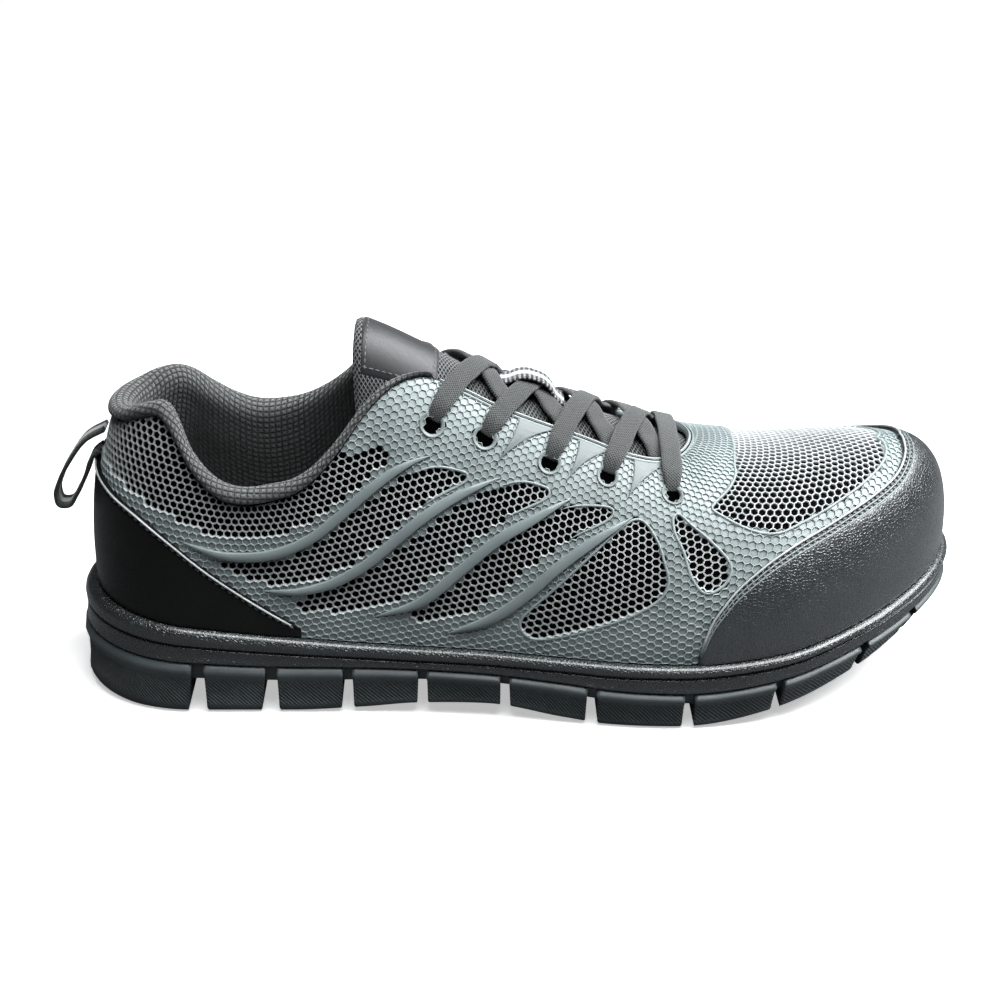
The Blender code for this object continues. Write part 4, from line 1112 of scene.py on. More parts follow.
RIB_PROFILE = ((-1.0, -0.0004), (-0.97, 0.00060), (-0.92, 0.00100), (-0.84, 0.00112), (0.0, 0.00116),
               (0.84, 0.00112), (0.92, 0.00100), (0.97, 0.00060), (1.0, -0.0004))
rib_pieces = []
for side, word in ((LATERAL, "outer"), (MEDIAL, "inner")):
    for number, rows in enumerate(RIBS, 1):
        rows = np.array(rows)
        line = open_curve(on_pattern(rows[:, 0], side, rows[:, 1]), 70)
        rib_pieces.append(ribbon(f"rib_{word}_{number}", line, 0.0035, RIB_PROFILE, rib_grey, taper=0.30))
print(len(rib_pieces), "ribs")

# %% [markdown]
# The film ends round a window in a thin raised edge, which is a narrow ribbon too. The three long windows
# have it only round their top ends, because the rest of their outline fades into the honeycomb.

# %% Edges of the windows
BEAD_PROFILE = ((-1.0, -0.0007), (-0.75, 0.00004), (-0.3, 0.00018), (0.3, 0.00018), (0.75, 0.00004),
                (1.0, -0.0007))
# Each edge takes a ridge value of 0.55, which paints it a tone between the film's painted shade and painted
# highlight.
bead_pieces = []
for number, (word, side, line) in enumerate(window_lines, 1):
    if word == "rear":
        continue
    loop = np.concatenate([line, line[:1]]) if word != "vamp" else closed_curve(line, 3)
    run = lengths_along(loop)
    if word in ("first", "second", "third"):
        middle = np.argmin(np.abs(loop[:, 0] - loop[:, 0].max()) + np.abs(loop[:, 1] - loop[0, 1]))
        order = np.roll(np.arange(len(line)), len(line)//2)
        loop = line[order]
        run = lengths_along(loop)
        peak = run[np.flatnonzero(order == 0)[0]]
        wanted = np.linspace(max(0, peak - 0.017), min(run[-1], peak + 0.022), 60)
        loop = np.stack([np.interp(wanted, run, loop[:, k]) for k in range(2)], 1)
        bead_pieces.append(ribbon(f"window_edge_{number}", loop, 0.0010, BEAD_PROFILE, film_grey, 0.3,
                                  ridge=0.55))
    else:
        loop = np.concatenate([loop, loop[1:2]]) if word != "vamp" else np.concatenate([loop, loop[:2]])
        bead_pieces.append(ribbon(f"window_edge_{number}", loop, 0.0010, BEAD_PROFILE, film_grey, 0,
                                  ridge=0.55))
print(len(bead_pieces), "window edges")


# %% Panels
def bowed_loop(corners, bow, count=14):
    """A closed line through corners whose sides bow inwards by a share of their length."""
    corners = np.asarray(corners, float)
    middle = corners.mean(0)
    line = []
    for (a, b), amount in zip(zip(corners, np.roll(corners, -1, 0)), bow):
        steps = np.linspace(0, 1, count, endpoint=False)[:, None]
        centre = (a + b)/2
        inwards = middle - centre
        inwards = inwards/np.linalg.norm(inwards)*np.linalg.norm(b - a)*amount
        line.append(a*(1 - steps) + b*steps + inwards*4*steps*(1 - steps))
    return np.concatenate(line)


def ringed_panel(name, line, rings, material, closed=True, flat_shaded=False):
    """Rings are (inset in metres, height, share of the size); a fan round its middle closes the last."""
    middle = line.mean(0)
    out = line - middle
    size = np.linalg.norm(out, axis=1, keepdims=True)
    points = []
    for inset, height, *share in rings:
        place = middle + out*np.clip(1 - inset/size, 0.0, None)*(share[0] if share else 1)
        points.append(np.concatenate([place, np.full((len(line), 1), height)], 1))
    count = len(line)
    faces = grid_faces(len(rings), count, wrap_columns=True).tolist()
    drawing = np.concatenate(points)
    if closed:
        drawing = np.concatenate([drawing, [(*middle, rings[-1][1])]])
        base = (len(rings) - 1)*count
        faces += [(base + k, base + (k + 1) % count, len(drawing) - 1) for k in range(count)]
    return last_it(name, drawing, faces, material, flat_shaded)


TRIANGLES = (((0.4975, 0.775), (0.5225, 0.765), (0.4800, 0.553)),
             ((0.5385, 0.762), (0.5605, 0.744), (0.5285, 0.570)),
             ((0.5765, 0.742), (0.6025, 0.770), (0.5705, 0.565)))
PANEL_RINGS = ((-0.0010, 0.00000), (-0.0007, -0.00055), (-0.0003, -0.00055), (-0.0001, 0.00016),
               (0.0003, 0.00030), (0.0003, 0.00032, 0.66), (0.0003, 0.00032, 0.33))
panel_pieces = []
for side, word in ((LATERAL, "outer"), (MEDIAL, "inner")):
    for number, rows in enumerate(TRIANGLES, 1):
        rows = np.array(rows)
        line = bowed_loop(on_pattern(rows[:, 0], side, rows[:, 1]), (0.0, 0.090, 0.080))
        panel_pieces.append(ringed_panel(f"panel_{word}_{number}", line, PANEL_RINGS, panel_grey,
                                         flat_shaded=True))

# %% Eyelets
EYELET_RINGS = ((0.0000, -0.0002), (0.00012, 0.00032), (0.00035, 0.00042), (0.0006, 0.00016),
                (0.0011, 0.00016), (0.0013, -0.0003), (0.0013, -0.00115))
_angle = np.linspace(0, 2*math.pi, 28, endpoint=False)
eyelet_pieces = []
for number, place in enumerate(EYELETS_FLAT, 1):
    line = place + np.stack([np.cos(_angle), np.sin(_angle)], 1)*EYELET_FLANGE
    eyelet_pieces.append(ringed_panel(f"eyelet_{number}", line, EYELET_RINGS, film_grey, closed=False))
    # A black disc at the bottom of each eyelet: painted shade for the dark inside the hole.
    painted_shade_disc = place + np.stack([np.cos(_angle), np.sin(_angle)], 1)*0.0034
    eyelet_pieces.append(ringed_panel(f"eyelet_hole_{number}", painted_shade_disc, ((0.0, -0.00110), (0.001, -0.00115)),
                                      hole_black))
print(len(panel_pieces), "panels", len(eyelet_pieces), "eyelet pieces")

# %% [markdown]
# ## Toe cap and heel counter
#
# Both are leather covers laid over the upper down to the sole. Their grids start at the seam, so that
# the first rows can draw the turned edge and the shallow valleys that the stitches pull into the
# leather, at true distances from the seam. Below that the leather runs on smoothly.


# %% Covers measured from their seam
def cover_table(turns, sides, start, seam, count=70):
    """For each column, t and the distance from the seam, from the seam down."""
    t = seam + (start - seam)*np.linspace(0, 1, count)[:, None]
    points = upper_face(turns + 0*t, sides + 0*t.astype(int), t)
    return t, lengths_along(points)


def cover_rows(table, wanted):
    t, run = table
    longest = run[-1]
    short = np.minimum(1, longest/0.009)
    rows = []
    for k in range(t.shape[1]):
        rows.append(np.interp(wanted*short[k], run[:, k], t[:, k]))
    return np.stack(rows, 1), short


def cover_piece(name, turns, sides, seam, start, near, height, far_rows, material):
    table = cover_table(turns, sides, start, seam)
    near_t, short = cover_rows(table, np.array(near))
    rest = np.linspace(0, 1, far_rows + 1)[1:, None]
    t = np.concatenate([near_t, near_t[-1] + (start - near_t[-1])*rest])
    base = height[-1][1]
    lift = np.concatenate([np.interp(near, *np.array(height).T), np.full(far_rows, base)])
    lift = OVERLAY_GAP + (lift[:, None] - OVERLAY_GAP)*np.clip(short, 0.35, 1)
    lift[-1] *= 0.8
    turn_grid, side_grid = turns + 0*t, sides + 0*t.astype(int)
    outer = shifted(turn_grid, side_grid, t, -lift)
    inner = shifted(turn_grid, side_grid, t, 0*t - 0.00018)
    run = np.stack([lengths_along(outer, 1), lengths_along(outer, 0)], -1)
    made = closed_plate(name, outer, inner, material, uv=run)
    return made, table


def cover_line(table, turns, sides, distance, lift):
    """Points along a cover at a distance from its seam."""
    t, short = cover_rows(table, np.array([distance]))
    keep = short > 0.5
    points = shifted(turns, sides, t[0], np.full(len(turns), -lift))
    return points[keep]


EDGE_NEAR = (0.0, 0.0002, 0.0005, 0.0008, 0.0011, 0.0014, 0.0017, 0.0020, 0.0024, 0.0028, 0.0031,
             0.0034, 0.0038, 0.0044, 0.0055)
CAP_HEIGHT = ((0.0, 0.0005), (0.0002, 0.0012), (0.0005, 0.00165), (0.0009, 0.0016), (0.0014, 0.00080),
              (0.0020, 0.00155), (0.0024, 0.00155), (0.0029, 0.00080), (0.0035, 0.00155), (0.0055, 0.0017))
_fine = np.concatenate([np.linspace(CAP_SEAM[0, 0], 0.70, 50)[:-1], np.linspace(0.70, 1, 70)])
cap_turns = np.concatenate([_fine, _fine[-2::-1]])
cap_sides = np.concatenate([np.full(len(_fine), LATERAL), np.full(len(_fine) - 1, MEDIAL)])
cap_seam = smooth(CAP_SEAM, cap_turns, 1)
toe_cap, cap_table = cover_piece("toe_cap_leather", cap_turns, cap_sides, cap_seam,
                                 np.minimum(0.002, cap_seam*0.4), EDGE_NEAR, CAP_HEIGHT, 40, cap_leather)

COUNTER_HEIGHT = ((0.0, 0.0006), (0.0002, 0.0017), (0.0005, 0.0021), (0.0009, 0.0017), (0.0012, 0.0012),
                  (0.0016, 0.0010), (0.0020, 0.0013), (0.0026, 0.0016), (0.0055, 0.0016))
_fine = np.linspace(0, COUNTER_SEAM[-1, 0], 90)
back_turns = np.concatenate([_fine[::-1], _fine[1:]])
back_sides = np.concatenate([np.full(len(_fine), LATERAL), np.full(len(_fine) - 1, MEDIAL)])
back_seam = smooth(COUNTER_SEAM, back_turns, 1)
heel_counter, back_table = cover_piece("heel_counter_leather", back_turns, back_sides, back_seam,
                                       np.minimum(0.002, back_seam*0.4), EDGE_NEAR, COUNTER_HEIGHT, 26,
                                       counter_leather)
print("covers", len(toe_cap.data.polygons), len(heel_counter.data.polygons), "faces")

# %% [markdown]
# Stitches repeat along a line, which is what Geometry Nodes do best. The tree takes plain edges, turns
# them into curves, sets a small rounded stitch at each step and turns it along the line.

# %% The stitching tree
stitch_tree = bpy.data.node_groups.new("row of stitches", "GeometryNodeTree")
_in, _out = tree_inputs(stitch_tree, ("Geometry", "Geometry"), ("Step", "Float"), ("Length", "Float"),
                        ("Width", "Float"), ("Finish", "Material"))
_curve = geo(stitch_tree, "GeometryNodeMeshToCurve", {"Mesh": _in.outputs["Geometry"]})
_even = geo(stitch_tree, "GeometryNodeResampleCurve", {"Curve": _curve.outputs[0],
                                                       "Length": _in.outputs["Step"]}, mode="LENGTH")
_bead = geo(stitch_tree, "GeometryNodeMeshUVSphere", {"Segments": 6, "Rings": 4, "Radius": 0.5})
_tangent = geo(stitch_tree, "GeometryNodeInputTangent").outputs[0]
_aim = geo(stitch_tree, "FunctionNodeAlignRotationToVector", {"Vector": _tangent}, axis="X")
_size = geo(stitch_tree, "ShaderNodeCombineXYZ", {0: _in.outputs["Length"], 1: _in.outputs["Width"],
                                                  2: _in.outputs["Width"]})
_each = geo(stitch_tree, "GeometryNodeInstanceOnPoints",
            {"Points": _even.outputs[0], "Instance": _bead.outputs[0], "Rotation": _aim.outputs[0],
             "Scale": _size.outputs[0]})
_real = geo(stitch_tree, "GeometryNodeRealizeInstances", {"Geometry": _each.outputs[0]})
_soft = geo(stitch_tree, "GeometryNodeSetShadeSmooth", {"Geometry": _real.outputs[0]})
_done = geo(stitch_tree, "GeometryNodeSetMaterial", {"Geometry": _soft.outputs[0],
                                                     "Material": _in.outputs["Finish"]})
stitch_tree.links.new(_done.outputs[0], _out.inputs[0])


def stitch(name, lines, step=0.0024, length=0.0019, width=0.00050, material=thread):
    points, edges, base = [], [], 0
    for line in lines:
        points.append(line)
        edges += [(base + k, base + k + 1) for k in range(len(line) - 1)]
        base += len(line)
    mesh = bpy.data.meshes.new(name)
    mesh.from_pydata((np.concatenate(points) + SHIFT).tolist(), edges, [])
    made = bpy.data.objects.new(name, mesh)
    bpy.context.scene.collection.objects.link(made)
    return run_tree(made, stitch_tree, Step=step, Length=length, Width=width, Finish=material)


# The pale grey thread here is a painted highlight: the cap's stitches are black thread, and the grey stands
# for their glints.
cap_stitches = stitch("cap_stitches", [cover_line(cap_table, cap_turns, cap_sides, d, 0.00130)
                                       for d in (0.00145, 0.0029)], 0.0023, 0.0013, 0.00080)
_cap_line = cover_line(cap_table, cap_turns, cap_sides, 0.0004, 0.00165)
_back_line = cover_line(back_table, back_turns, back_sides, 0.0005, 0.00190)
back_stitches = stitch("counter_stitches", [cover_line(back_table, back_turns, back_sides, 0.0018, 0.00150)],
                       0.0026, 0.0019, 0.00065)
print("stitches", len(cap_stitches.data.polygons), len(back_stitches.data.polygons), "faces")


# %% [markdown]
# ## Tubes and tapes
#
# Pipings, laces and straps are all a cross-section carried along a path. The cross-section lies in the
# two directions square to the path, and its UV runs in metres along and across, for the weave.


# %% Sweep
def sweep(name, path, across, section, material, sizes=None, caps=True, flat_shaded=False):
    """section is a closed ring of (across, up) in metres; sizes scales it at each point of the path."""
    path, across = np.asarray(path, float), np.asarray(across, float)
    along = np.gradient(path, axis=0)
    along /= np.linalg.norm(along, axis=1, keepdims=True)
    across = across - along*np.sum(across*along, axis=1, keepdims=True)
    across /= np.linalg.norm(across, axis=1, keepdims=True)
    up = np.cross(along, across)
    section = np.asarray(section, float)
    count, ring = len(path), len(section)
    sizes = np.ones((count, 2)) if sizes is None else np.asarray(sizes, float)
    points = (path[:, None] + across[:, None]*(section[:, 0]*sizes[:, :1])[..., None]
              + up[:, None]*(section[:, 1]*sizes[:, 1:])[..., None])
    run = lengths_along(path)
    uv = np.stack([run[:, None] + 0*section[:, 0], section[:, 0]*sizes[:, :1]], -1)
    faces = grid_faces(count, ring, wrap_columns=True).tolist()
    if caps:
        faces += [tuple(range(ring)), tuple((count - 1)*ring + k for k in range(ring))[::-1]]
    made = make_mesh(name, points.reshape(-1, 3), faces, material, flat_shaded, uv.reshape(-1, 2))
    return tidy_mesh(made, 1e-6)


def fine_line(points, count):
    """A smooth line in space through a few points, evenly spaced."""
    return open_curve(np.asarray(points, float), count)


def flat_section(width, thick, rounds=4):
    """A flat tape's cross-section with round edges."""
    angle = np.linspace(-math.pi/2, math.pi/2, rounds)
    edge = np.stack([width/2 - thick/2 + np.cos(angle)*thick/2, np.sin(angle)*thick/2], 1)
    top = np.stack([np.linspace(width/2 - thick/2, -width/2 + thick/2, 7)[1:-1], np.full(5, thick/2)], 1)
    return np.concatenate([edge, top, -edge, -top])


def round_section(radius, count=8):
    angle = np.linspace(0, 2*math.pi, count, endpoint=False)
    return np.stack([np.cos(angle), np.sin(angle)], 1)*radius


# %% [markdown]
# The turned edges of the two covers catch the light as thin lines, and that light is painted: each is a
# fine light grey tube that follows the seam, a painted highlight on the dark leather, and two finer ones,
# painted highlights too, run beside the toe cap's rows of stitches.

# %% Painted highlights along the raised edges of the two covers
EDGE_HIGHLIGHT_SECTION, HIGHLIGHT_BEAD_SECTION = round_section(0.00042, 6), round_section(0.00026, 6)
# distance from the seam and height of the two finer tubes of painted highlight
HIGHLIGHT_BEAD_ROWS = ((0.0022, 0.00150), (0.0037, 0.00155))


def cover_tube(name, line, section, material):
    return sweep(name, line, line*0 + (0, 0, 1), section, material)


cap_edge = cover_tube("cap_edge", _cap_line[::2], EDGE_HIGHLIGHT_SECTION, edge_grey)
cap_highlight_tubes = [cover_tube(f"cap_bead_{number}", cover_line(cap_table, cap_turns, cap_sides, *row)[::2],
                        HIGHLIGHT_BEAD_SECTION, rib_grey) for number, row in enumerate(HIGHLIGHT_BEAD_ROWS, 1)]
back_edge_highlight = cover_tube("counter_edge", _back_line[::2], EDGE_HIGHLIGHT_SECTION, edge_grey)
print("edges", len(cap_edge.data.polygons), len(back_edge_highlight.data.polygons), "faces")

# %% [markdown]
# ## Throat binding and piping
#
# The open edge of the throat is wrapped in a narrow binding that hides the last cells of the honeycomb,
# and a silver piping runs along it, down one side, round the U over the toes and up the other.

# %% Throat edge
_turns = np.concatenate([np.linspace(0.443, 0.600, 60), np.linspace(0.600, CLOSED_TURN - 0.0006, 26)[1:]])
throat_turn = np.concatenate([_turns, _turns[::-1]])
throat_side = np.concatenate([np.full(len(_turns), LATERAL), np.full(len(_turns), MEDIAL)])
throat_t = np.where(throat_side < 0, smooth(TOP_EDGE, throat_turn, 1), smooth(TOP_EDGE, throat_turn, 2))
throat_edge = upper_face(throat_turn, throat_side, throat_t)
_keep = (throat_turn < 0.606) & (np.arange(len(throat_turn)) % 4 == 0)
_front = upper_face(CLOSED_TURN + 0.0005, LATERAL, 1.0).reshape(1, 3)
_near, _far = throat_edge[_keep & (throat_side < 0)], throat_edge[_keep & (throat_side > 0)]
throat_edge = fine_line(np.concatenate([_near, _front, _far]), len(throat_turn))
throat_out = upper_out(throat_turn, throat_side, throat_t)
_along = np.gradient(throat_edge, axis=0)
_along[len(_turns) - 1:len(_turns) + 1] = (0, 1, 0)
_along /= np.linalg.norm(_along, axis=1, keepdims=True)
throat_in = np.cross(throat_out, _along)
_flip = np.sign(np.sum(throat_in*(throat_edge - throat_edge.mean(0)), axis=1).mean())
throat_in *= -_flip
BINDING = ((-0.0019, 0.00005), (-0.0017, 0.00024), (-0.0012, 0.00030), (-0.0006, 0.00030),
           (0.0001, 0.00020), (0.0005, -0.0003), (0.0005, -0.0014), (0.0, -0.00215), (-0.0012, -0.0024),
           (-0.0019, -0.0022), (-0.0020, -0.0010))
_ring = np.array(BINDING)
_points = (throat_edge[:, None] + throat_in[:, None]*_ring[:, :1]
           + throat_out[:, None]*_ring[:, 1:])
_run = lengths_along(throat_edge)
_across = np.cumsum(np.linalg.norm(np.diff(_ring, axis=0, prepend=_ring[:1]), axis=1))
_uv = np.stack([_run[:, None] + 0*_across, _across + 0*_run[:, None]], -1)
_faces = grid_faces(len(throat_edge), len(_ring), wrap_columns=True).tolist()
_faces += [tuple(range(len(_ring))), tuple((len(throat_edge) - 1)*len(_ring) + k
                                           for k in range(len(_ring)))[::-1]]
throat_binding = tidy_mesh(make_mesh("throat_binding", _points.reshape(-1, 3), _faces, rib_grey,
                                     uv=_uv.reshape(-1, 2)))
_line = throat_edge - throat_in*0.0001 + throat_out*0.00030
throat_piping = sweep("throat_piping", _line, throat_out, round_section(0.00036), piping_silver)
_line = throat_edge - throat_in*0.0009 + throat_out*0.00026
binding_seam = sweep("binding_seam", _line, throat_out, round_section(0.00022, 6), hole_black)
print("throat edge", round(float(_run[-1])*1000), "mm long")

# %% [markdown]
# ## Collar
#
# The collar is foam under a grid knit: it lines the quarters and rolls over the top edge. The same ring
# of profile points as in the solid is meshed finely and rounded with a Subdivision Surface. It is a
# padded piece.

# %% Padded collar
_half = np.linspace(0, COLLAR_PAD[-1, 0], 64)
collar_turns = np.concatenate([_half[::-1], _half[1:]])
collar_sides = np.concatenate([np.full(len(_half), LATERAL), np.full(len(_half) - 1, MEDIAL)])
_edge = top_edge(collar_turns, collar_sides)
_pad = smooth(COLLAR_PAD, collar_turns, 1)*COLLAR_PADDING
_roll = smooth(COLLAR_PAD, collar_turns, 2)*RIM_HEIGHT
_top = upper_face(collar_turns, collar_sides, _edge)
_outwards = upper_out(collar_turns, collar_sides, _edge)
_upward = upper_face(collar_turns, collar_sides, _edge + 0.02) - _top
_upward /= np.linalg.norm(_upward, axis=1, keepdims=True)
_lining = WALL + OVERLAY_GAP


def rim_at(outwards, high):
    return _top + _outwards*np.asarray(outwards)[..., None] + _upward*(GAP*2 + high*_roll)[:, None]


_rows = [shifted(collar_turns, collar_sides, _edge*s, _lining + 0*_edge) for s in (0.30, 0.55, 0.82, 0.97)]
_rows.append(rim_at(-_lining + 0*_edge, 0.0))
for _o, _h in ((0.45, -0.02), (0.80, 0.16), (0.95, 0.42), (0.60, 0.74), (-0.30, 0.98), (-1.40, 1.08)):
    _rows.append(rim_at(_o*WALL*_roll/RIM_HEIGHT if _o < 0 else _o*WALL + 0*_edge, _h))
_rows.append(rim_at(-_lining - _pad*0.72, 0.86))
_rows.append(rim_at(-_lining - _pad, 0.25))
for _s in (0.93, 0.80, 0.66, 0.50, 0.30):
    _thin = _pad*(0.35 + 0.65*min(1, (_s - 0.30)/0.45))
    _rows.append(shifted(collar_turns, collar_sides, _edge*_s, _lining + _thin))
_rows = np.stack(_rows, 1)
_u = lengths_along(_rows[:, 9])[:, None] + 0*_rows[..., 0]
_v = lengths_along(_rows, 1)
collar = make_mesh("padded_collar", _rows.reshape(-1, 3),
                   grid_faces(*_rows.shape[:2], wrap_columns=True).tolist()
                   + [tuple(range(_rows.shape[1])),
                      tuple((_rows.shape[0] - 1)*_rows.shape[1] + k for k in range(_rows.shape[1]))[::-1]],
                   collar_knit, uv=np.stack([_u, _v], -1).reshape(-1, 2))
tidy_mesh(collar, 1e-6)


def keep_modifiers(made):
    """Replace an object's mesh by what its modifiers make of it."""
    view = bpy.context.evaluated_depsgraph_get()
    mesh = bpy.data.meshes.new_from_object(made.evaluated_get(view), depsgraph=view)
    made.modifiers.clear()
    made.data = mesh
    return made


def rounded(made, levels):
    """Smooth an object with a Subdivision Surface and keep the result."""
    step = made.modifiers.new("rounded", "SUBSURF")
    step.levels = step.render_levels = levels
    return keep_modifiers(made)


rounded(collar, 2)
print("collar", len(collar.data.polygons), "faces")

# %% [markdown]
# ## Tongue
#
# The tongue lies under the throat and stands a little above it. Its face is a fine net, it is thinner at
# its edges, and near the top it has a plain satin panel with a stitched border.


# %% Padded tongue
def tongue_point(turn, across, side, lift=0.0):
    """across runs from the tongue's edge (0) to its middle (1)."""
    place = smooth(TONGUE, turn, 3)
    crown = smooth(TONGUE, turn, 1)*WALL
    margin = WALL + smooth(TONGUE, turn, 2)*COLLAR_PADDING
    drop = 1 - across
    depth = crown + (margin - crown)*drop*drop*(3 - 2*drop)
    return shifted(turn, side, place + (1 - place)*across, depth - lift)


_turns = np.linspace(TONGUE[0, 0], TONGUE[-1, 0], 90)
_across = np.concatenate([np.linspace(0, 1, 26), np.linspace(1, 0, 26)[1:]])
_sides = np.concatenate([np.full(26, LATERAL), np.full(25, MEDIAL)])
_turn_grid = _turns[:, None] + 0*_across
_side_grid = _sides + 0*_turn_grid.astype(int)
_across_grid = _across + 0*_turn_grid
_edge_round = np.minimum(1, np.minimum(_across_grid*14, (_turn_grid - _turns[0])*260 + 0.12))
_edge_round = np.sqrt(np.clip(_edge_round*(2 - _edge_round), 0.02, 1))
_thick = TONGUE_THICK*(0.45 + 0.55*np.minimum(1, _across_grid*3.0))
_puff = 0.0003*np.sin(np.clip(_across_grid, 0, 1)*math.pi)
_outer = tongue_point(_turn_grid, _across_grid, _side_grid, _puff - _thick*0.5*(1 - _edge_round))
_inner = tongue_point(_turn_grid, _across_grid, _side_grid, -_thick*(0.5 + 0.5*_edge_round))
_uv = np.stack([lengths_along(_outer, 0), lengths_along(_outer, 1)], -1)
tongue = closed_plate("padded_tongue", _outer, _inner, tongue_net, uv=_uv)

# %% Satin panel on the tongue
_turns = np.linspace(0.3890, 0.4440, 30)
_low_across = 0.42
_across = np.concatenate([np.linspace(_low_across, 1, 16), np.linspace(1, _low_across, 16)[1:]])
_sides = np.concatenate([np.full(16, LATERAL), np.full(15, MEDIAL)])
_turn_grid = _turns[:, None] + 0*_across
_side_grid = _sides + 0*_turn_grid.astype(int)
_across_grid = _across + 0*_turn_grid
_i, _j = np.meshgrid(np.arange(30), np.arange(31), indexing="ij")
_rim = np.minimum(np.minimum(_i, 29 - _i), np.minimum(_j, 30 - _j))
_lift = np.where(_rim == 0, 0.00005, np.where(_rim == 1, 0.00055, 0.0007))
_outer = tongue_point(_turn_grid, _across_grid, _side_grid, _lift)
_inner = tongue_point(_turn_grid, _across_grid, _side_grid, -0.0003)
_uv = np.stack([lengths_along(_outer, 0), lengths_along(_outer, 1)], -1)
tongue_panel = closed_plate("tongue_panel", _outer, _inner, label_satin, uv=_uv)
_border = np.concatenate([_outer[2, 2:-2], _outer[2:-2, -3], _outer[-3, -3:1:-1], _outer[-3:1:-1, 2]])
panel_stitches = stitch("panel_stitches", [_border + (0, 0, 0.0001)], 0.0021, 0.0016, 0.00038)
print("tongue", len(tongue.data.polygons), "faces")

# %% [markdown]
# ## Laces
#
# A flat woven lace comes up out of each eyelet, crosses the tongue towards the toe and dives under the
# edge of the other side. Where two strands cross, the outer side's lies on top. The lowest pass is a
# straight bar between the last pair of eyelets.


# %% Lace paths
def lace_strand(name, start, end, side, over):
    steps = np.linspace(0, 1, 41)
    to_ridge = np.clip(steps*2, 0, 1)
    turn = start[0] + (end[0] - start[0])*steps
    first = np.where(steps > 0.5, -side, side)
    up = np.where(steps <= 0.5, start[1] + (1 - start[1])*to_ridge,
                  1 + (end[1] - 1)*(steps*2 - 1))
    rest = LACE_THICK/2 + OVERLAY_GAP*1.25
    rise = rest + over*np.exp(-((steps - 0.5)/0.15)**2)
    leave = np.clip(steps/0.10, 0, 1)
    rise = rise - (rest + 0.0016)*(1 - leave*(2 - leave))
    if end[2]:
        sink = np.clip((steps - 0.56)/0.16, 0, 1)
        dive = np.clip((steps - 0.76)/0.24, 0, 1)
        rise = rise - 0.0016*sink*sink*(3 - 2*sink) - 0.0036*dive*dive*(3 - 2*dive)
    else:
        land = np.clip((1 - steps)/0.10, 0, 1)
        rise = rise - (rest + 0.0016)*(1 - land*(2 - land))
    path = shifted(turn, first, up, -rise)
    out = upper_out(turn, first, up)
    across = np.cross(np.gradient(path, axis=0), out)
    path = fine_line(path, 110)
    across = np.stack([np.interp(np.linspace(0, 1, 110), steps, across[:, k]) for k in range(3)], 1)
    place = np.linspace(0, 1, 110)
    gather = np.clip(place/0.16, 0, 1)
    if not end[2]:
        gather = np.minimum(gather, np.clip((1 - place)/0.16, 0, 1))
    gather = gather*gather*(3 - 2*gather)
    wobble = 1 + 0.025*np.sin(place*31 + start[0]*90)
    sizes = np.stack([(0.74 + 0.26*gather)*wobble, 1.35 - 0.35*gather], 1)
    return sweep(name, path, across, flat_section(LACE_WIDTH*1.38, LACE_THICK), lace_cloth, sizes)


LACE_DIVES = (0.503, 0.540, 0.568, 0.602)
lace_pieces = []
for number, (turn, t) in enumerate(EYELETS, 1):
    if number == 5:
        lace_pieces.append([lace_strand("lace_bar_woven", (turn, t + 0.022), (turn, t + 0.022, False),
                                         LATERAL, 0.0)])
        continue
    pair = []
    dive = LACE_DIVES[number - 1]
    for side, word, over in ((LATERAL, "outer", 0.0014), (MEDIAL, "inner", -0.0001)):
        pair.append(lace_strand(f"lace_{number}_{word}", (turn + 0.0012, t + 0.022),
                                (dive, 0.735, True), side, over))
    lace_pieces.append(pair)
print(sum(len(p) for p in lace_pieces), "strands")

# %% [markdown]
# ## Loops
#
# Two straps of webbing with a pale stripe: one on the tongue, which keeps the laces in the middle, and
# one behind the heel to pull the shoe on by.

# %% Webbing loops
_turn = np.array([0.484, 0.4900, 0.495, 0.500, 0.5065, 0.513, 0.518, 0.523, 0.530])
_rise = np.array([0.0, 0.30, 0.72, 0.94, 1.0, 0.94, 0.72, 0.30, 0.0])*0.0056
_crown = smooth(TONGUE, _turn, 1)*WALL
_path = shifted(_turn, LATERAL, np.ones(9), _crown - 0.0005 - OVERLAY_GAP - _rise)
_path = fine_line(_path, 60)
tongue_strap = sweep("tongue_strap", _path, np.tile((0.0, 1.0, 0.0), (60, 1)), flat_section(0.010, 0.001),
                     strap_pale)
_lean = -(OVERLAY_GAP + 0.0014*0.2)
_high = shifted(0.0, LATERAL, 0.415, _lean)
_low = shifted(0.0, LATERAL, 0.350, _lean)
_path = [_high + (_low - _high)*s - 0.026*np.array((b, 0, d)) for s, b, d in PULL_LOOP]
_path = fine_line(_path, 90)
pull_strap = sweep("pull_strap", _path, np.tile((0.0, 1.0, 0.0), (90, 1)), flat_section(0.010, 0.0014),
                   strap_black)
print("loops ready")

# %% [markdown]
# ## Sole
#
# The sole is a rubber moulding in two parts. The upper part has a rolled lip with a leather grain, a
# groove, and a flat band. It is a loft: rings that follow the outline, each with its own inset and
# height. The lower part is cut across into blocks.

# %% Midsole
STATIONS = 150
_ahead = np.linspace(0, 1, STATIONS + 1)
sole_turns = np.concatenate([_ahead, _ahead[-2:0:-1]])
sole_sides = np.concatenate([np.full(STATIONS + 1, LATERAL), np.full(STATIONS - 1, MEDIAL)])


def sole_ring(inset, tucked, height):
    x, y = outline_inset(sole_turns, sole_sides, inset + tucked*tuck(sole_turns, sole_sides))
    return np.stack([x, y, height], 1)


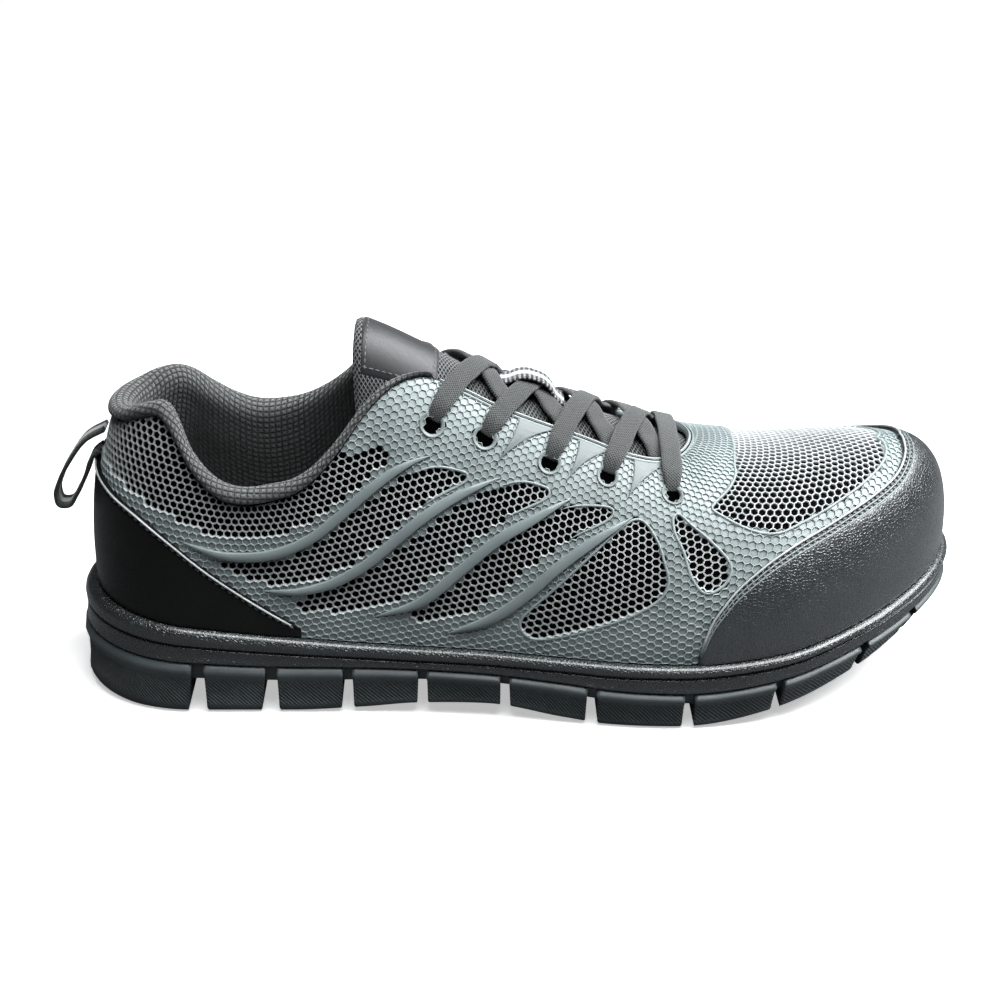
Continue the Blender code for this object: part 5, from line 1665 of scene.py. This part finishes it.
def closed_loft(name, rings, material, attribute=None):
    count = len(rings[0])
    half = count//2
    faces = grid_faces(len(rings), count, wrap_columns=True).tolist()
    for base, flip in ((0, True), ((len(rings) - 1)*count, False)):
        for k in range(half):
            ring = [base + k, base + k + 1, base + (count - k - 1) % count, base + (count - k) % count]
            ring = [v for n, v in enumerate(ring) if v not in ring[:n]]
            if len(ring) > 2:
                faces.append(tuple(ring[::-1] if flip else ring))
    points = np.stack(rings)
    uv = np.stack([lengths_along(points, 1), lengths_along(points, 0)], -1).reshape(-1, 2)
    return tidy_mesh(make_mesh(name, points.reshape(-1, 3), faces, material, uv=uv))


_block = side_level(sole_turns, sole_sides, BLOCK_TOP)
_groove = side_level(sole_turns, sole_sides, GROOVE)
_lip = side_level(sole_turns, sole_sides, LIP_TOP)
_high = _lip - _groove
MIDSOLE_SIDE = (
    ("block", 0.0014, 0.00, 0.0003), ("block", 0.0002, 0.06, 0.0006), ("block", -0.0001, 0.10, 0.0012),
    ("block", 0.0001, 0.12, 0.0017), ("groove", 0.0001, 0.25, -0.0011), ("groove", -0.0002, 0.27, -0.0008),
    ("groove", 0.0001, 0.28, -0.0005), ("groove", 0.0009, 0.30, -0.0003), ("groove", 0.0009, 0.30, 0.0001),
    ("groove", -0.0001, 0.31, 0.0004), ("groove", -0.0005, 0.33, 0.0009), ("share", -0.0009, 0.40, 0.38),
    ("share", -0.0010, 0.50, 0.58), ("share", -0.0007, 0.62, 0.78), ("share", 0.0001, 0.78, 0.94),
    ("share", 0.0009, 0.90, 1.005), ("share", 0.0017, 0.96, 1.01), ("share", 0.0023, 1.00, 0.985),
    ("share", 0.0027, 1.00, 0.90), ("cup", 0.0027, 1.00, -0.0050),
)
_rings = []
for _kind, _inset, _tucked, _value in MIDSOLE_SIDE:
    _height = {"block": _block + _value, "groove": _groove + _value, "share": _groove + _high*_value,
               "cup": _lip + _value}[_kind]
    _rings.append(sole_ring(_inset, _tucked, _height))
midsole = closed_loft("sole_lip_and_band", _rings, lip_rubber)
print("midsole", len(midsole.data.polygons), "faces")

# %% [markdown]
# The blocks hang from a web. Each is a small loft of its own: a ring round the block is carried from the
# tread up to the band, with a rounded foot, a slight flare and a bright ridge along its top edge. The
# slanting ribs on the side are a bump, held to the lower half by a `hatch` value on each point, and their
# colour is painted: lighter on the crests as highlight, darker in the grooves as shade.


# %% Blocks
def turn_at(x):
    return np.arccos(1 - 2*np.clip(x/SOLE_LENGTH, 0, 1))/math.pi


BLOCK_CUT, WEB_SHARE, NOTCH_DEPTH = 0.0042, 0.62, 0.0035
BLOCK_LEVELS = (
    # height share, inset, rounding of the corners, share of the hatch
    (0.00, 0.0022, 0.0010, 0.0), (0.03, 0.0008, 0.0003, 0.0), (0.10, 0.0001, 0.0, 0.0),
    (0.20, 0.0, 0.0, 0.3), (0.26, 0.0002, 0.0, 1.0), (0.45, 0.0003, 0.0, 1.0), (0.66, 0.0002, 0.0, 0.7),
    (0.74, 0.0, 0.0, 0.0), (0.80, -0.0006, 0.0, 0.0), (0.87, -0.0009, 0.0, 0.0), (0.92, -0.0006, 0.0, 0.0),
    (0.95, 0.0001, 0.0, 0.0), (1.00, 0.0006, 0.0, 0.0),
)


def block_ring(x_back, x_front, inset, corner, share, count=26):
    """A ring round one block: along the outer side, across, back along the inner side."""
    steps = np.linspace(0, 1, count)
    x = x_back + corner + (x_front - x_back - 2*corner)*steps
    rings = []
    for side in (LATERAL, MEDIAL):
        turn = turn_at(x)
        low = side_level(turn, side, LOWEST)
        top = side_level(turn, side, BLOCK_TOP)
        low_inset = smooth(SOLE_SIDE, outline(turn, side)[0]/SOLE_LENGTH, 5)*TOE_TAPER
        px, py = outline_inset(turn, side, inset + low_inset*(1 - share)**1.5)
        rings.append(np.stack([px, py, low + (top - low)*share], 1))
    return rings


block_pieces = []
_cuts = [(share*SOLE_LENGTH, low*BLOCK_CUT, top*BLOCK_CUT) for share, low, top in BLOCK_CUTS]
for number in range(len(_cuts) + 1):
    rings = []
    for share, inset, corner, hatch in BLOCK_LEVELS:
        back = 0.0 if number == 0 else _cuts[number - 1][0] + _cuts[number - 1][1]/2
        if number == len(_cuts):
            front = SOLE_LENGTH
        else:
            x, low, top = _cuts[number]
            front = x + low/2 - (low + (top - low)*share)
        outer, inner = block_ring(back, front, inset, corner, share)
        rings.append(np.concatenate([outer, inner[::-1]]))
    points = np.stack(rings)
    count = points.shape[1]
    faces = grid_faces(len(rings), count, wrap_columns=True).tolist()
    half = count//2
    for base, flip in ((0, True), ((len(rings) - 1)*count, False)):
        for k in range(half - 1):
            ring = (base + k, base + k + 1, base + count - k - 2, base + count - k - 1)
            faces.append(ring[::-1] if flip else ring)
    uv = np.stack([lengths_along(points, 1), lengths_along(points, 0)], -1).reshape(-1, 2)
    made = make_mesh(f"tread_block_{number + 1}", points.reshape(-1, 3), faces, block_rubber, uv=uv)
    mask = made.data.attributes.new("hatch", "FLOAT", "POINT")
    mask.data.foreach_set("value", np.repeat([row[3] for row in BLOCK_LEVELS], count).astype(np.float32))
    block_pieces.append(tidy_mesh(made))
_web = []
for _share, _inset in ((WEB_SHARE, 0.0042), (WEB_SHARE + 0.02, 0.0036), (0.98, 0.0036), (1.0, 0.0040)):
    _low_level = side_level(sole_turns, sole_sides, LOWEST)
    _web.append(sole_ring(_inset, 0.0, _low_level + (_block - _low_level)*_share))
sole_web = closed_loft("sole_web", _web, block_rubber)
print(len(block_pieces), "blocks")

# %% [markdown]
# ## Insole
#
# The insole is a thin foam pad under a net cloth, cupped a little at the heel, which shows through the
# collar.

# %% Padded insole
_edge = FEATHER_INSET + WALL + GAP*2 + tuck(sole_turns, sole_sides)
_floor = _lip - CUP_DEPTH + GAP
_rings = [(_edge, 0.0), (_edge - 0.0001, 0.0018), (_edge + 0.0006, 0.0034), (_edge + 0.002, 0.0040),
          (_edge + 0.006, 0.0037), (_edge + 0.013, 0.0034), (_edge + 0.022, 0.0033)]
_rings = [np.column_stack([*outline_inset(sole_turns, sole_sides, inset), _floor + up])
          for inset, up in _rings]
insole = closed_loft("padded_insole", _rings, insole_cloth)
print("insole", len(insole.data.polygons), "faces")

# %% [markdown]
# ## Riding and replacing
#
# The shoe has no joints, so every piece rides on the one body. Each new piece stands for the solids that
# it covers, which are hidden.

# %% Attach everything
groups = [
    (("upper",), "upper", [upper_film, upper_net, upper_lining, *rib_pieces, *bead_pieces, *panel_pieces,
                           *eyelet_pieces, throat_binding, throat_piping, binding_seam]),
    (("toe_cap",), "toe_cap", [toe_cap, cap_edge, *cap_highlight_tubes, cap_stitches]),
    (("heel_counter",), "heel_counter", [heel_counter, back_edge_highlight, back_stitches]),
    (("collar",), "collar", [collar]),
    (("tongue",), "tongue", [tongue, tongue_panel, panel_stitches]),
    (("tongue_loop",), "webbing", [tongue_strap]),
    (("pull_loop",), "webbing", [pull_strap]),
    (("midsole",), "midsole", [midsole]),
    (("outsole",), "outsole", [sole_web, *block_pieces]),
    (("insole",), "insole", [insole]),
    (("lace_bar",), "lace", lace_pieces[4]),
    (("lace_cross_1",), "lace", lace_pieces[0]),
    (("lace_cross_2",), "lace", lace_pieces[1]),
    (("lace_cross_3",), "lace", lace_pieces[2]),
    (("lace_cross_4",), "lace", lace_pieces[3]),
]
for nodes, slot, pieces in groups:
    for piece in pieces:
        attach(piece, "root")
    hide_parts(*nodes)
bpy.data.objects.remove(flat_pattern)

# %% [markdown]
# ## Floor, light and camera
#
# A wide pale floor and a white surround, as in a photographer's tent. Both look white to the camera but
# throw little light on the shoe (a Light Path node tells the two apart), so that its black parts stay
# dark. One large soft lamp hangs above the camera's side, another above the toe, and a wide sun stands for
# the sky. The camera is about 66 cm away, 25 degrees up, where the photograph was taken from.

# %% Stage
_floor_paint, _tree, _shader = new_finish("floor_white", (0.86, 0.86, 0.86), 0.8)
_seen = node(_tree, "LightPath").outputs["Is Camera Ray"]
_shade = node(_tree, "MixRGB", {"Fac": _seen, "Color1": (0.10, 0.104, 0.108, 1),
                                "Color2": (0.86, 0.86, 0.86, 1)})
_tree.links.new(_shade.outputs[0], _shader.inputs["Base Color"])
_tree.links.new(node(_tree, "MapRange", {0: _seen, 3: 0.0, 4: 0.48}).outputs[0],
                _shader.inputs["Emission Strength"])
_shader.inputs["Emission Color"].default_value = (1, 1, 1, 1)
floor = make_mesh("floor", np.array([(-3, -3, 0), (3, -3, 0), (3, 3, 0), (-3, 3, 0)]) + (0, 0, -0.0002),
                  [(0, 1, 2, 3)], _floor_paint, flat=True)
world = bpy.data.worlds.new("tent")
bpy.context.scene.world = world
world.use_nodes = True
world.node_tree.nodes["Background"].inputs[0].default_value = (1.0, 1.0, 1.0, 1)
_seen = node(world.node_tree, "LightPath").outputs["Is Camera Ray"]
_strength = node(world.node_tree, "MapRange", {0: _seen, 3: 0.045, 4: 1.0})
world.node_tree.links.new(_strength.outputs[0], world.node_tree.nodes["Background"].inputs[1])


def soft_lamp(name, place, target, size, power):
    lamp = bpy.data.lights.new(name, "AREA")
    lamp.shape, lamp.size, lamp.size_y, lamp.energy = "RECTANGLE", size[0], size[1], power
    made = bpy.data.objects.new(name, lamp)
    lamp.color = (0.96, 1.0, 1.01)
    made.location = place
    made.rotation_mode = "QUATERNION"
    made.rotation_quaternion = (Vector(target) - Vector(place)).to_track_quat("-Z", "Y")
    bpy.context.scene.collection.objects.link(made)


soft_lamp("overhead", (0.26, -0.20, 0.86), (0.12, 0.0, 0.05), (0.8, 0.45), 13)
soft_lamp("toe_side", (0.68, 0.06, 0.66), (0.22, 0.0, 0.06), (0.60, 0.50), 13)
sun_data = bpy.data.lights.new("sky", "SUN")
sun_data.energy, sun_data.angle = 1.25, math.radians(50)
sky = bpy.data.objects.new("sky", sun_data)
sky.rotation_euler = (math.radians(7), math.radians(22), 0)
bpy.context.scene.collection.objects.link(sky)

# %% Camera
AZIMUTH, ELEVATION = math.radians(-1.66), math.radians(25.43)
DISTANCE, FOCAL, IMAGE = 0.6585, 1893.6, 1000.0
SENSOR, CENTRE = 36.0, (520.1, 529.0)
TARGET = Vector((0.098015, 0.0, 0.050))
back = Vector((math.sin(AZIMUTH)*math.cos(ELEVATION), -math.cos(AZIMUTH)*math.cos(ELEVATION),
               math.sin(ELEVATION)))
camera_data = bpy.data.cameras.new("camera")
camera = bpy.data.objects.new("camera", camera_data)
bpy.context.scene.collection.objects.link(camera)
bpy.context.scene.camera = camera
camera_data.sensor_width = SENSOR
camera_data.lens = FOCAL/IMAGE*SENSOR
camera_data.shift_x = -(CENTRE[0] - IMAGE/2)/IMAGE
camera_data.shift_y = (CENTRE[1] - IMAGE/2)/IMAGE
camera.location = TARGET + back*DISTANCE
camera.rotation_mode = "QUATERNION"
camera.rotation_quaternion = (-back).to_track_quat("-Z", "Y")
camera.rotation_mode = "XYZ"
camera_data.clip_start = 0.01
bpy.context.scene.view_settings.view_transform = "Standard"
